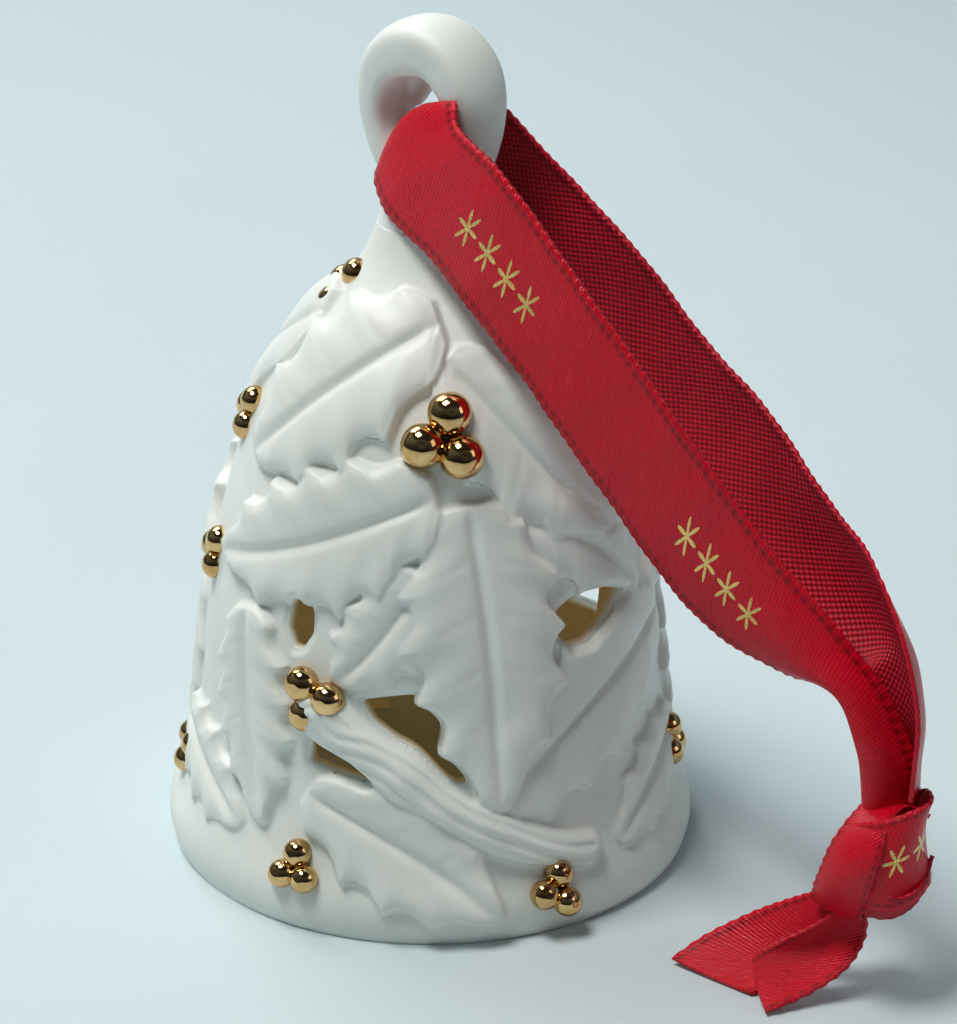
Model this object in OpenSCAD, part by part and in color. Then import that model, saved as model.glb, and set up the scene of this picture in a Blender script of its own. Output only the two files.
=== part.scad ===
// Pierced porcelain Christmas bell with applied holly, a hanging ring and a looped satin ribbon.
// Millimetres, +Z up. Origin on the bell's axis, in the plane of the rim it stands on.
// The front faces -Y. Angles go round +Z from the front, positive towards +X.

/* [Bell] */
// Height of the bell over the hanging ring
overall_height = 76; // [70:90]
// Thickness of the porcelain wall
wall = 1.3; // [1:0.1:2]
// Height of the solid crown's underside
crown_underside = 53; // [50:55]

/* [Leaves] */
// Leaf thickness where one lies on top
leaf_thick = 1.3; // [0.8:0.1:1.6]
// Leaf thickness where one is overlapped
leaf_thin = 0.9; // [0.6:0.1:1.2]
// Depth of the hollows between two spines, as a share of the width
notch_depth = 0.26; // [0.1:0.02:0.4]

/* [Hanging ring] */
// Diameter of the ring's round limb
ring_limb = 4.6; // [3:0.2:5]
// Outer diameter of the ring
ring_outer = 15.4; // [13:0.2:18]
// Turn of the ring's plane from the front
ring_turn = 40; // [0:90]

/* [Clapper] */
// Diameter of the porcelain bead
bead_diameter = 8; // [6:12]
// Height of the bead's centre over the table
bead_height = 13; // [10:20]
// Wire diameter of the eye, the link and the stem
wire = 0.8; // [0.6:0.1:1.2]

/* [Ribbon] */
// Width of the ribbon
ribbon_width = 10.6; // [8:0.1:12]
// Thickness of the ribbon
ribbon_thick = 0.4; // [0.3:0.1:0.6]

/* [Hidden] */
$fn = 48;
PORCELAIN = [0.95, 0.94, 0.91];
GOLD = [0.85, 0.65, 0.25];
RED = [0.72, 0.03, 0.09];
GREY = [0.7, 0.69, 0.66];

// Height and outer radius of the wall under the leaves
OUTER = [[0, 23.6], [1, 24.2], [3.6, 24.1], [6, 22.7], [10, 21.6], [15, 20.9], [20, 20.4], [25, 19.9],
    [30, 19.0], [34, 18.0], [38, 16.9], [42, 15.6], [45, 14.1], [48, 12.1], [50.5, 9.9], [53, 7.4],
    [55.5, 5.6], [58, 4.8]];
wall_top = 58;
cement_radius = 1.6;
cement_height = 3.2;
function radius(z) = lookup(z, OUTER);

ring_major = (ring_outer - ring_limb) / 2;
ring_z = overall_height - ring_outer / 2;
neck_top = 62.4;
neck_top_radius = 3.3;

// Leaves: [centre angle, base x, base z, tip x, tip z, half width, bow, spines a side, thickness]
// x runs round the wall to the right, seen square on at the centre angle.
A = [-36, 6.6, 52.4, -8, 39.4, 6.9, -0.4, 4, leaf_thick];
B = [36, -6.5, 50, 6.5, 33.8, 6, -1, 4, leaf_thin];
C = [-30, 9.6, 39.5, -12.4, 30.2, 6.4, 0.6, 5, leaf_thick];
D = [13, -1, 39.2, 1, 12, 7.4, 0.4, 5, leaf_thick];
E = [42, -6, 37, 8, 27.6, 4.8, 1.2, 4, leaf_thin];
F = [42, 12.4, 24.5, -12, 10.4, 7, -2, 5, leaf_thin];
G = [-8, -8.4, 12.8, 9.6, 2.6, 5.6, 1, 4, leaf_thick];
H = [-66, -8, 12.4, 7.4, 7.4, 4.2, 0.6, 4, leaf_thin];
I = [-48, -1.6, 27.6, 2.6, 8.6, 5.2, -0.6, 5, leaf_thick];
J = [-12, 3.6, 33, -4.2, 22.6, 4.6, 0.4, 4, leaf_thin];
K = [63, 8, 12.6, -7, 6.4, 4.2, -0.6, 4, leaf_thin];
M = [-106, 6.6, 51.6, -9.4, 38.6, 7, 0.6, 4, leaf_thin];
N = [150, -6.4, 52, 9, 37.7, 7, -0.6, 4, leaf_thick];
O = [94, -6, 49, 8, 35.6, 6.4, -1, 4, leaf_thin];
P = [178, 0.8, 39.6, -1, 11.4, 7.6, 0.4, 5, leaf_thick];
Q = [110, 9.6, 38, -12.6, 26.6, 6.8, 0.8, 5, leaf_thick];
R = [-122, -10, 38, 11, 27, 6.6, -0.8, 5, leaf_thick];
S = [102, 1, 25, -1.6, 7, 5.8, -0.6, 4, leaf_thin];
T = [-144, 10, 25, -10, 9.6, 7, -1.4, 5, leaf_thin];
U = [-96, 1, 26, -2.6, 7, 5.6, 0.6, 4, leaf_thin];
V = [140, -9, 14, 10, 3, 5.4, 1, 4, leaf_thick];
X = [-124, -9, 12.4, 9, 3, 5, 0.8, 4, leaf_thin];

// Berry clusters: [angle, height, berry radius, turn of the three, centres' stand-off from the wall]
B_FRONT = [4, 43.8, 1.75, 75, 0.9];
B_LEFT = [-29, 21, 1.4, 10, 0.75];
B_LOW_LEFT = [-30, 5.7, 1.15, 90, 0.6];
B_LOW_RIGHT = [27, 4.3, 1.2, 65, 0.6];
B_SHOULDER = [-84, 52.4, 1.2, 60, 0.4];
B_SIDE_HIGH = [-85, 40.9, 1.2, 60, 0.4];
B_SIDE_MID = [-80, 28.4, 1.2, 60, 0.4];
B_SIDE_LOW = [-82, 8.8, 1.2, 30, 0.4];
B_RIGHT_LOW = [80, 10, 1.2, 90, 0.45];
B_BACK_HIGH = [176, 44.4, 1.75, 30, 0.9];
B_BACK_LEFT = [-150, 28.3, 1.4, 80, 0.8];
B_BACK_RIGHT = [136, 24.3, 1.4, 50, 0.8];
B_BACK_LOW = [-168, 5.6, 1.15, 90, 0.6];
berry_spread = 1.2;

// Twigs: angle and height of each bend, half width
TWIG_FRONT = [[-26, 19.4], [-16, 17.6], [-6, 15.4], [4, 12.6], [14, 9.8], [26, 7.8], [36, 7]];
TWIG_BACK = [[146, 20.5], [154, 18.6], [162, 15.4], [170, 11.6], [178, 8.4]];
twig_half = 1.7;
twig_lift = 0.5;

// Windows through the wall: centre angle, then corners as [x, z] square on to that angle
W_OVAL = [-35, [[-1.5, 26.4], [-1.4, 28.4], [0, 29.6], [1.2, 28.6], [1.4, 26.6], [0.4, 24.9], [-0.6, 24.7]]];
W_RIGHT = [47, [[-4.6, 28.4], [-2.6, 29.2], [1, 29.1], [4.4, 27.8], [1, 26], [-1.6, 24.8], [-3.8, 24.9],
    [-4.8, 26.6]]];
W_FRONT = [-2, [[-5.6, 21.4], [-3.6, 21.9], [-0.6, 22.4], [0.9, 20.6], [2.6, 18.7], [5, 14.2], [3, 14.2],
    [0.6, 15.8], [-2, 18], [-4.4, 19.6]]];
W_LOW = [-22, [[-3, 17.5], [-3.1, 14.9], [0, 14.5], [3, 14.1], [1.4, 16.1], [-1, 17.4]]];
W_LEFT_SIDE = [-104, [[-2, 27], [0, 28.2], [2.2, 27.4], [1.8, 25.4], [-1, 24.8]]];
W_RIGHT_SIDE = [76, [[-2, 34.6], [0.6, 35.6], [2, 33.6], [0, 32], [-1.8, 32.6]]];
W_BACK_RIGHT = [148, [[-2.8, 31.4], [0, 32.6], [2.6, 31.2], [1.8, 28.4], [-1, 27.6]]];
W_BACK_LEFT = [-158, [[-2, 27], [1.6, 28], [2.6, 25.6], [0, 23.8], [-1.8, 24.6]]];
W_BACK_LOW = [134, [[-3.4, 18.6], [0, 19.8], [3.2, 18.2], [2, 15.2], [-2.6, 15.4]]];
W_SIDE_LOW = [-120, [[-2.4, 20.3], [0.4, 21], [2.6, 19], [1.2, 15.6], [-2, 16.4]]];
WINDOWS = [W_OVAL, W_RIGHT, W_FRONT, W_LOW, W_LEFT_SIDE, W_RIGHT_SIDE, W_BACK_RIGHT, W_BACK_LEFT,
    W_BACK_LOW, W_SIDE_LOW];
far = 32;

// Turn of a body of revolution that puts its seam on the far side of what lies at an angle
function seam_for(angle) = angle > 0 ? 180 : 0;

// A body of revolution under the leaves, between two heights
module core(z0, z1, grow = 0, seam = 0) {
    points = [for (p = OUTER) if (p[0] > z0 && p[0] < z1) [p[1] + grow, p[0]]];
    rotate([0, 0, seam])
        rotate_extrude()
            polygon(concat([[0, z0], [radius(z0) + grow, z0]], points, [[radius(z1) + grow, z1], [0, z1]]));
}

// Half width of a leaf, along its length from 0 to 1
function leaf_half(t) = pow(sin(180 * pow(t, 0.8)), 0.62);

// One edge of a leaf as [along, across] in shares of length and half width
function leaf_edge(spines) = [for (i = [0 : spines - 1]) for (k = [0 : 2])
    let (step = 0.86 / spines, t = 0.1 + step * (i + k / 3), dip = k == 0 ? 0 : notch_depth)
    [t + (k == 0 ? 0.015 : 0), leaf_half(t) * (1 - dip)]];

// A leaf's outline, square on at its centre angle
function leaf_points(l) =
    let (dx = l[3] - l[1], dz = l[4] - l[2], long = norm([dx, dz]), ux = dx / long, uz = dz / long,
        edge = leaf_edge(l[7]), side = concat([[0.02, 0.12]], edge, [[1, 0]]), n = len(side),
        ring = concat(side, [for (i = [1 : n - 1]) [side[n - 1 - i][0], -side[n - 1 - i][1]]]))
    [for (p = ring) let (a = p[0] * long, c = p[1] * l[5] + l[6] * sin(180 * p[0]))
        [l[1] + a * ux - c * uz, l[2] + a * uz + c * ux]];

// A column standing out from the axis at an angle, over a flat outline
module column(angle, points, reach) {
    rotate([0, 0, angle])
        rotate([90, 0, 0])
            linear_extrude(height = reach)
                polygon(points);
}

module leaf_column(l) {
    column(l[0], leaf_points(l), far);
}

module window_column(w) {
    column(w[0], w[1], far);
}

// A leaf lying on the wall, cut away where other leaves, berries, twigs and windows are
module leaf(l, above = [], berries = [], twigs = [], windows = []) {
    points = leaf_points(l);
    low = min([for (p = points) p[1]]) - 0.5;
    high = max([for (p = points) p[1]]) + 0.5;
    difference() {
        intersection() {
            core(max(low, 0.4), high, l[8], seam_for(l[0]));
            leaf_column(l);
        }
        core(max(low, 0.4) - 0.4, high + 1, 0, seam_for(l[0]));
        for (o = above) leaf_column(o);
        for (b = berries) berry_balls(b);
        for (t = twigs) twig_column(t);
        for (w = windows) window_column(w);
    }
}

// The three balls of a cluster
module berry_balls(b) {
    for (k = [0 : 2]) {
        turn = b[3] + 120 * k;
        out = radius(b[1]) + b[4];
        across = berry_spread * b[2] * cos(turn);
        height = b[1] + berry_spread * b[2] * sin(turn);
        rotate([0, 0, b[0] + atan(across / out)])
            translate([0, -radius(height) - b[4], height])
                sphere(r = b[2]);
    }
}

module berries(b) {
    color(GOLD)
        difference() {
            berry_balls(b);
            core(max(b[1] - 2.6 * b[2], 0.1), min(b[1] + 2.6 * b[2], wall_top - 0.1), 0, seam_for(b[0]));
        }
}

// A twig's outline, square on at its middle
function twig_points(t) =
    let (n = len(t), mid = t[floor(n / 2)][0],
        line = [for (p = t) [radius(p[1]) * sin(p[0] - mid), p[1]]],
        dir = [for (i = [0 : n - 1]) let (d = line[min(i + 1, n - 1)] - line[max(i - 1, 0)]) d / norm(d)])
    concat([for (i = [0 : n - 1]) line[i] + twig_half * (1 - 0.4 * i / n) * [-dir[i][1], dir[i][0]]],
        [for (i = [n - 1 : -1 : 0]) line[i] - twig_half * (1 - 0.4 * i / n) * [-dir[i][1], dir[i][0]]]);

module twig_column(t) {
    column(t[floor(len(t) / 2)][0], twig_points(t), far);
}

module twig(t, above = [], berries = []) {
    low = min([for (p = t) p[1]]) - 2.5;
    high = max([for (p = t) p[1]]) + 2.5;
    color(PORCELAIN)
        difference() {
            intersection() {
                core(low, high, leaf_thick + twig_lift);
                twig_column(t);
            }
            core(low - 1, high + 1);
            for (o = above) leaf_column(o);
            for (b = berries) berry_balls(b);
        }
}

module bell_shell() {
    outside = [for (p = OUTER) [p[1], p[0]]];
    inside = [for (i = [len(OUTER) - 1 : -1 : 0]) if (OUTER[i][0] < crown_underside - 1 && OUTER[i][0] > 0)
        [OUTER[i][1] - wall * (OUTER[i][0] > 44 ? 1.4 : 1.05), OUTER[i][0]]];
    color(PORCELAIN)
        difference() {
            rotate_extrude()
                polygon(concat([[0, crown_underside]], [[0, wall_top]],
                    [for (i = [len(outside) - 1 : -1 : 0]) outside[i]], [[22.7, 0]],
                    [for (i = [len(inside) - 1 : -1 : 0]) inside[i]],
                    [[4.6, crown_underside]]));
            for (w = WINDOWS) window_column(w);
            translate([0, 0, crown_underside - 1])
                cylinder(r = cement_radius, h = cement_height + 1);
        }
}
module ring_frame() {
    translate([0, 0, ring_z])
        rotate([0, 0, -ring_turn])
            children();
}

module hanging_ring() {
    color(PORCELAIN)
        union() {
            ring_frame()
                rotate([90, 0, 0])
                    rotate_extrude()
                        translate([ring_major, 0])
                            circle(r = ring_limb / 2);
            difference() {
                translate([0, 0, wall_top])
                    cylinder(r1 = radius(wall_top), r2 = neck_top_radius, h = neck_top - wall_top);
                ring_frame()
                    rotate([90, 0, 0])
                        cylinder(r = ring_major - 1, h = 20, center = true);
            }
        }
}

module leaf_shoulder_left() { color(PORCELAIN) leaf(A, [], [B_FRONT, B_SHOULDER], [], []); }
module leaf_shoulder_right() { color(PORCELAIN) leaf(B, [A], [B_FRONT], [], []); }
module leaf_middle_left() {
    color(PORCELAIN) leaf(C, [A], [B_FRONT, B_SIDE_MID, B_SIDE_HIGH], [], [W_OVAL]);
}
module leaf_centre() { color(PORCELAIN) leaf(D, [B, C], [B_FRONT], [], []); }
module leaf_middle_right() { color(PORCELAIN) leaf(E, [B, D], [B_FRONT], [], [W_RIGHT]); }
module leaf_lower_right() { color(PORCELAIN) leaf(F, [D, E], [B_RIGHT_LOW], [TWIG_FRONT], [W_RIGHT]); }
module leaf_bottom_centre() {
    color(PORCELAIN) leaf(G, [], [B_LOW_LEFT, B_LOW_RIGHT], [TWIG_FRONT], [W_LOW]);
}
module leaf_bottom_left() { color(PORCELAIN) leaf(H, [I], [B_LOW_LEFT, B_SIDE_LOW], [], []); }
module leaf_lower_left() { color(PORCELAIN) leaf(I, [C], [B_LEFT, B_SIDE_MID], [], [W_OVAL, W_LOW]); }
module leaf_small_centre() { color(PORCELAIN) leaf(J, [C, D], [B_LEFT], [TWIG_FRONT], [W_OVAL, W_FRONT]); }
module leaf_bottom_right() { color(PORCELAIN) leaf(K, [F], [B_RIGHT_LOW, B_LOW_RIGHT], [TWIG_FRONT], []); }
module leaf_back_shoulder_left() { color(PORCELAIN) leaf(M, [A], [B_SHOULDER, B_SIDE_HIGH], [], []); }
module leaf_back_shoulder_right() { color(PORCELAIN) leaf(N, [], [B_BACK_HIGH], [], []); }
module leaf_side_shoulder() { color(PORCELAIN) leaf(O, [B, N], [], [], []); }
module leaf_back_centre() { color(PORCELAIN) leaf(P, [N], [B_BACK_HIGH], [TWIG_BACK], []); }
module leaf_back_middle_right() {
    color(PORCELAIN) leaf(Q, [N, O, P, S], [B_BACK_RIGHT], [], [W_BACK_RIGHT]);
}
module leaf_back_middle_left() {
    color(PORCELAIN) leaf(R, [M, P], [B_BACK_LEFT, B_SIDE_MID], [], [W_LEFT_SIDE, W_BACK_LEFT]);
}
module leaf_side_right() { color(PORCELAIN) leaf(S, [], [B_RIGHT_LOW], [], []); }
module leaf_back_lower_left() {
    color(PORCELAIN) leaf(T, [R, P], [B_BACK_LEFT], [TWIG_BACK], [W_BACK_LEFT, W_SIDE_LOW]);
}
module leaf_side_left() {
    color(PORCELAIN) leaf(U, [R, H], [B_SIDE_MID, B_SIDE_LOW], [], [W_LEFT_SIDE, W_SIDE_LOW]);
}
module leaf_back_bottom_right() { color(PORCELAIN) leaf(V, [S], [], [TWIG_BACK], [W_BACK_LOW]); }
module leaf_back_bottom_left() {
    color(PORCELAIN) leaf(X, [T, U], [B_BACK_LOW, B_SIDE_LOW], [TWIG_BACK], [W_SIDE_LOW]);
}
module twig_front() { twig(TWIG_FRONT, [D], [B_LEFT, B_LOW_RIGHT]); }
module twig_back() { twig(TWIG_BACK, [], [B_BACK_RIGHT]); }
module berries_front() { berries(B_FRONT); }
module berries_left() { berries(B_LEFT); }
module berries_low_left() { berries(B_LOW_LEFT); }
module berries_low_right() { berries(B_LOW_RIGHT); }
module berries_shoulder() { berries(B_SHOULDER); }
module berries_side_high() { berries(B_SIDE_HIGH); }
module berries_side_middle() { berries(B_SIDE_MID); }
module berries_side_low() { berries(B_SIDE_LOW); }
module berries_right_low() { berries(B_RIGHT_LOW); }
module berries_back_high() { berries(B_BACK_HIGH); }
module berries_back_left() { berries(B_BACK_LEFT); }
module berries_back_right() { berries(B_BACK_RIGHT); }
module berries_back_low() { berries(B_BACK_LOW); }

// Clapper: an eye cemented in the crown, a link on it, and a stem with a bead on the link
eye_radius = 1.5;
link_arc = 1.05;
link_straight = 1.6;
eye_z = crown_underside - 2.6;
link_pivot = eye_z - eye_radius;
link_low = link_pivot - link_straight;
stem_pivot = link_low - link_arc;
stem_eye = 1.05;

module wire_ring(r) {
    rotate([90, 0, 0])
        rotate_extrude()
            translate([r, 0])
                circle(r = wire / 2, $fn = 24);
}

module clapper_eye() {
    shank_top = crown_underside + cement_height - 0.4;
    color(GOLD)
        union() {
            translate([0, 0, eye_z])
                wire_ring(eye_radius);
            translate([0, 0, eye_z + eye_radius - 0.1])
                cylinder(r = wire / 2 + 0.05, h = shank_top - eye_z - eye_radius + 0.1);
        }
}

module crown_cement() {
    color(GREY)
        difference() {
            translate([0, 0, crown_underside])
                cylinder(r = cement_radius, h = cement_height);
            translate([0, 0, crown_underside - 1])
                cylinder(r = wire / 2 + 0.05, h = cement_height - 0.4 + 1);
        }
}

module clapper_link() {
    color(GOLD)
        union() {
            for (end = [0, 1])
                translate([0, 0, end == 0 ? link_pivot : link_low])
                    rotate([0, 0, 90])
                        rotate([90, 0, 0])
                            rotate([0, 0, end == 0 ? 0 : 180])
                                rotate_extrude(angle = 180)
                                    translate([link_arc, 0])
                                        circle(r = wire / 2, $fn = 24);
            for (side = [-1, 1])
                translate([0, side * link_arc, link_low])
                    cylinder(r = wire / 2, h = link_straight, $fn = 24);
        }
}

module clapper_stem() {
    color(GOLD)
        union() {
            translate([0, 0, stem_pivot])
                wire_ring(stem_eye);
            translate([0, 0, bead_height - 2])
                cylinder(r = wire / 2 + 0.05, h = stem_pivot - stem_eye - bead_height + 2.1);
        }
}

module clapper_bead() {
    color(PORCELAIN)
        difference() {
            translate([0, 0, bead_height])
                sphere(d = bead_diameter);
            translate([0, 0, bead_height - 2])
                cylinder(r = wire / 2 + 0.05, h = bead_diameter);
        }
}

// Ribbon: s runs out along the strands, b stands off the ring's plane towards the front,
// w runs across the ribbon
strand_slope = 42;
FRONT_STRAND = [[2.6, 4], [4, 4.8], [6, 5.4], [10, 5.9], [18, 6], [28, 5.8], [38, 4.8], [46, 3.2]];
BACK_STRAND = [[2.6, -4], [4, -4.8], [6, -5.5], [10, -6.1], [18, -6.4], [28, -6.4], [38, -5.2],
    [46, -3.6]];
BEND = [[3.2, 4.4], [2.3, 3.5], [1.6, 1.8], [1.4, 0], [1.6, -1.8], [2.3, -3.5], [3.2, -4.4]];
bend_width = 4.4;
front_shift = -0.4;
back_shift = -0.8;
bar_thick = 1.2;

module strand_frame() {
    ring_frame()
        rotate([0, strand_slope, 0])
            children();
}

// A band of the ribbon's thickness along a line of [s, b]
function band(line, half) =
    let (n = len(line),
        dir = [for (i = [0 : n - 1]) let (d = line[min(i + 1, n - 1)] - line[max(i - 1, 0)]) d / norm(d)])
    concat([for (i = [0 : n - 1]) line[i] + half * [-dir[i][1], dir[i][0]]],
        [for (i = [n - 1 : -1 : 0]) line[i] - half * [-dir[i][1], dir[i][0]]]);

module strand(line, width, shift) {
    strand_frame()
        translate([0, 0, shift - width / 2])
            linear_extrude(height = width)
                mirror([0, 1])
                    polygon(band(line, ribbon_thick / 2));
}

module strands() {
    strand(FRONT_STRAND, ribbon_width, front_shift);
    strand(BACK_STRAND, ribbon_width, back_shift);
}

module ribbon_loop() {
    color(RED)
        union() {
            strands();
            strand(BEND, bend_width, 0);
        }
}

// A flat bar across the ribbon, centred at [s, b, w] and leaning out along s
module bar(at, width, thick, lean) {
    translate([at[0], -at[1], at[2]])
        rotate([0, lean, 0])
            cube([ribbon_thick, thick, width], center = true);
}

module knot_ball() {
    ring_frame()
        translate([48, 1, 12 - ring_z])
            scale([1, 1.1, 1.25])
                sphere(r = 4, $fn = 32);
}

// Both strands draw together, turn down and run into the knot
module ribbon_throat() {
    color(RED)
        difference() {
            strand_frame() {
                hull() {
                    bar([46, 3.2, front_shift], ribbon_width, ribbon_thick, 0);
                    bar([57.6, 0.7, 2.2], 6.8, bar_thick, -10);
                }
                hull() {
                    bar([46, -3.6, back_shift], ribbon_width, ribbon_thick, 0);
                    bar([57.6, -0.7, 2.2], 6.8, bar_thick, -10);
                }
                hull() {
                    bar([57.6, 0, 2.2], 6.8, 2 * bar_thick, -10);
                    bar([64, 0, 1.8], 6.4, 2 * bar_thick, 25);
                }
                hull() {
                    bar([64, 0, 1.8], 6.4, 2 * bar_thick, 25);
                    bar([68.6, 0, -1.8], 5.6, 2 * bar_thick, 65);
                }
                hull() {
                    bar([68.6, 0, -1.8], 5.6, 2 * bar_thick, 65);
                    bar([71, 0, -7], 4.4, 2 * bar_thick, 85);
                }
            }
            strands();
            knot_ball();
        }
}

module ribbon_knot() {
    color(RED)
        knot_ball();
}

// A tail from inside the knot down to the table, its end flat
module tail(from, to, width, turn) {
    hull() {
        translate(from)
            rotate([0, 0, turn])
                cube([ribbon_thick, 0.5 * width, 2], center = true);
        translate([to[0], to[1], ribbon_thick / 2])
            rotate([0, 0, turn])
                cube([3, width, ribbon_thick], center = true);
    }
}

module left_tail() {
    tail([35.4, -30.4, 8.6], [22.6, -27.4], 8, 10);
}

module ribbon_tail_left() {
    color(RED)
        difference() {
            left_tail();
            knot_ball();
        }
}

module ribbon_tail_front() {
    color(RED)
        difference() {
            tail([36, -31.6, 8], [29, -33.8], 7, 50);
            knot_ball();
            left_tail();
        }
}

bell_shell();
hanging_ring();
leaf_shoulder_left();
leaf_shoulder_right();
leaf_middle_left();
leaf_centre();
leaf_middle_right();
leaf_lower_right();
leaf_bottom_centre();
leaf_bottom_left();
leaf_lower_left();
leaf_small_centre();
leaf_bottom_right();
leaf_back_shoulder_left();
leaf_back_shoulder_right();
leaf_side_shoulder();
leaf_back_centre();
leaf_back_middle_right();
leaf_back_middle_left();
leaf_side_right();
leaf_back_lower_left();
leaf_side_left();
leaf_back_bottom_right();
leaf_back_bottom_left();
twig_front();
twig_back();
berries_front();
berries_left();
berries_low_left();
berries_low_right();
berries_shoulder();
berries_side_high();
berries_side_middle();
berries_side_low();
berries_right_low();
berries_back_high();
berries_back_left();
berries_back_right();
berries_back_low();
clapper_eye();
crown_cement();
clapper_link();
clapper_stem();
clapper_bead();
ribbon_loop();
ribbon_throat();
ribbon_knot();
ribbon_tail_left();
ribbon_tail_front();
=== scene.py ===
import math
import bpy
import numpy as np
from mathutils import Matrix


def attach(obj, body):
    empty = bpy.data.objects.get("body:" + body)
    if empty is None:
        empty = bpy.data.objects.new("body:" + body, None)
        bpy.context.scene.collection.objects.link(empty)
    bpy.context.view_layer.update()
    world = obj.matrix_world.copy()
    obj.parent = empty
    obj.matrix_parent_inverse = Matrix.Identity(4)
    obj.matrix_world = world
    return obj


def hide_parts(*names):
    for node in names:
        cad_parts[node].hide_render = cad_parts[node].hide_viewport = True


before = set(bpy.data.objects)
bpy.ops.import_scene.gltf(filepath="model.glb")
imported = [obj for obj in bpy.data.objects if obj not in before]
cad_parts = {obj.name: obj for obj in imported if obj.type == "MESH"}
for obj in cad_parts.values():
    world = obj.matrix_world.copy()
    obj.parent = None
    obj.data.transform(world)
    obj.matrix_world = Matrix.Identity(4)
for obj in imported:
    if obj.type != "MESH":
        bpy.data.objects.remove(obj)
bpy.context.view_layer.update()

MM = 0.001
rng = np.random.default_rng(7)

# ------------------------------------------------------------------ camera
YAW, PITCH, ROLL = 0.0154231, 0.401756, 0.009899
fwd = np.array([math.sin(YAW) * math.cos(PITCH), math.cos(YAW) * math.cos(PITCH), -math.sin(PITCH)])
rgt = np.cross(fwd, [0, 0, 1])
rgt /= np.linalg.norm(rgt)
up = np.cross(rgt, fwd)
rgt, up = (math.cos(ROLL) * rgt + math.sin(ROLL) * up, -math.sin(ROLL) * rgt + math.cos(ROLL) * up)
cam_data = bpy.data.cameras.new("camera")
cam = bpy.data.objects.new("camera", cam_data)
bpy.context.scene.collection.objects.link(cam)
cam_data.sensor_fit = "AUTO"
cam_data.sensor_width = 24
cam_data.lens = 3298.6 * 24 / 1024
cam_data.clip_start, cam_data.clip_end = 0.01, 20
m = Matrix([list(rgt), list(up), list(-fwd)]).transposed().to_4x4()
m.translation = (0, -0.27143, 0.14597)
cam.matrix_world = m
bpy.context.scene.camera = cam


# ------------------------------------------------------------------ mesh helpers
def mesh_object(name, verts, faces, mat, body, replaces=(), normals=None, smooth=True):
    """A piece from points in millimetres and faces of any size."""
    me = bpy.data.meshes.new(name)
    me.from_pydata((np.asarray(verts, float) * MM).tolist(), [], faces if isinstance(faces, list) else faces.tolist())
    me.validate(verbose=False)
    me.shade_smooth() if smooth else me.shade_flat()
    if normals is not None:
        me.normals_split_custom_set_from_vertices(np.asarray(normals, float).tolist())
    ob = bpy.data.objects.new(name, me)
    bpy.context.scene.collection.objects.link(ob)
    me.materials.append(mat)
    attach(ob, body)
    if replaces:
        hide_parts(*replaces)
    return ob


def vertex_normals(v, quads):
    """Area-weighted normals at the vertices of a mesh of quads."""
    n = np.cross(v[quads[:, 2]] - v[quads[:, 0]], v[quads[:, 3]] - v[quads[:, 1]])
    out = np.zeros_like(v)
    for k in range(4):
        for a in range(3):
            out[:, a] += np.bincount(quads[:, k], n[:, a], len(v))
    return out / np.maximum(np.linalg.norm(out, axis=1, keepdims=True), 1e-12)


def smoothstep(a, b, x):
    t = np.clip((x - a) / (b - a), 0, 1)
    return t * t * (3 - 2 * t)


def blur(h, rows, cols):
    """Gaussian blur by that many cells, going round in the second direction."""
    def kernel(s):
        n = max(int(3 * s), 1)
        k = np.exp(-0.5 * (np.arange(-n, n + 1) / s) ** 2)
        return k / k.sum(), n
    k, n = kernel(rows)
    p = np.pad(h, ((n, n), (0, 0)), mode="edge")
    out = sum(w * p[i:i + h.shape[0]] for i, w in enumerate(k))
    k, n = kernel(cols)
    p = np.pad(out, ((0, 0), (n, n)), mode="wrap")
    return sum(w * p[:, i:i + h.shape[1]] for i, w in enumerate(k))


def polygon_distance(px, pz, poly):
    """Distance to a closed outline, positive inside."""
    a, b = poly, np.roll(poly, -1, 0)
    best = np.full(px.shape, 1e9)
    inside = np.zeros(px.shape, bool)
    for (ax, az), (bx, bz) in zip(a, b):
        dx, dz = bx - ax, bz - az
        t = np.clip(((px - ax) * dx + (pz - az) * dz) / max(dx * dx + dz * dz, 1e-12), 0, 1)
        best = np.minimum(best, (px - ax - t * dx) ** 2 + (pz - az - t * dz) ** 2)
        if az != bz:
            inside ^= ((az > pz) != (bz > pz)) & (px < (bx - ax) * (pz - az) / (bz - az) + ax)
    return np.where(inside, 1, -1) * np.sqrt(best)


def wave_noise(x, y, z, scale, seed, octaves=3):
    """Smooth noise of about unit size, the same each run."""
    g = np.random.default_rng(seed)
    out, amp = 0, 1.0
    for o in range(octaves):
        for _ in range(5):
            d = g.normal(size=3)
            d /= np.linalg.norm(d)
            out = out + amp * np.sin((x * d[0] + y * d[1] + z * d[2]) * 6.283 / scale * 1.7 ** o + g.uniform(0, 6.283)) / 5 ** 0.5
        amp *= 0.5
    return out


# ------------------------------------------------------------------ materials
def nodes_of(name):
    mat = bpy.data.materials.new(name)
    mat.use_nodes = True
    nt = mat.node_tree
    bsdf = nt.nodes["Principled BSDF"]
    return mat, nt, bsdf


def add(nt, kind, **values):
    n = nt.nodes.new(kind)
    for k, v in values.items():
        if k in n.inputs:
            n.inputs[k].default_value = v
        else:
            setattr(n, k, v)
    return n


def math_node(nt, op, a, b=None, c=None, clamp=False):
    n = nt.nodes.new("ShaderNodeMath")
    n.operation = op
    n.use_clamp = clamp
    for i, x in enumerate((a, b, c)):
        if x is None:
            continue
        if isinstance(x, (int, float)):
            n.inputs[i].default_value = x
        else:
            nt.links.new(x, n.inputs[i])
    return n.outputs[0]


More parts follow.
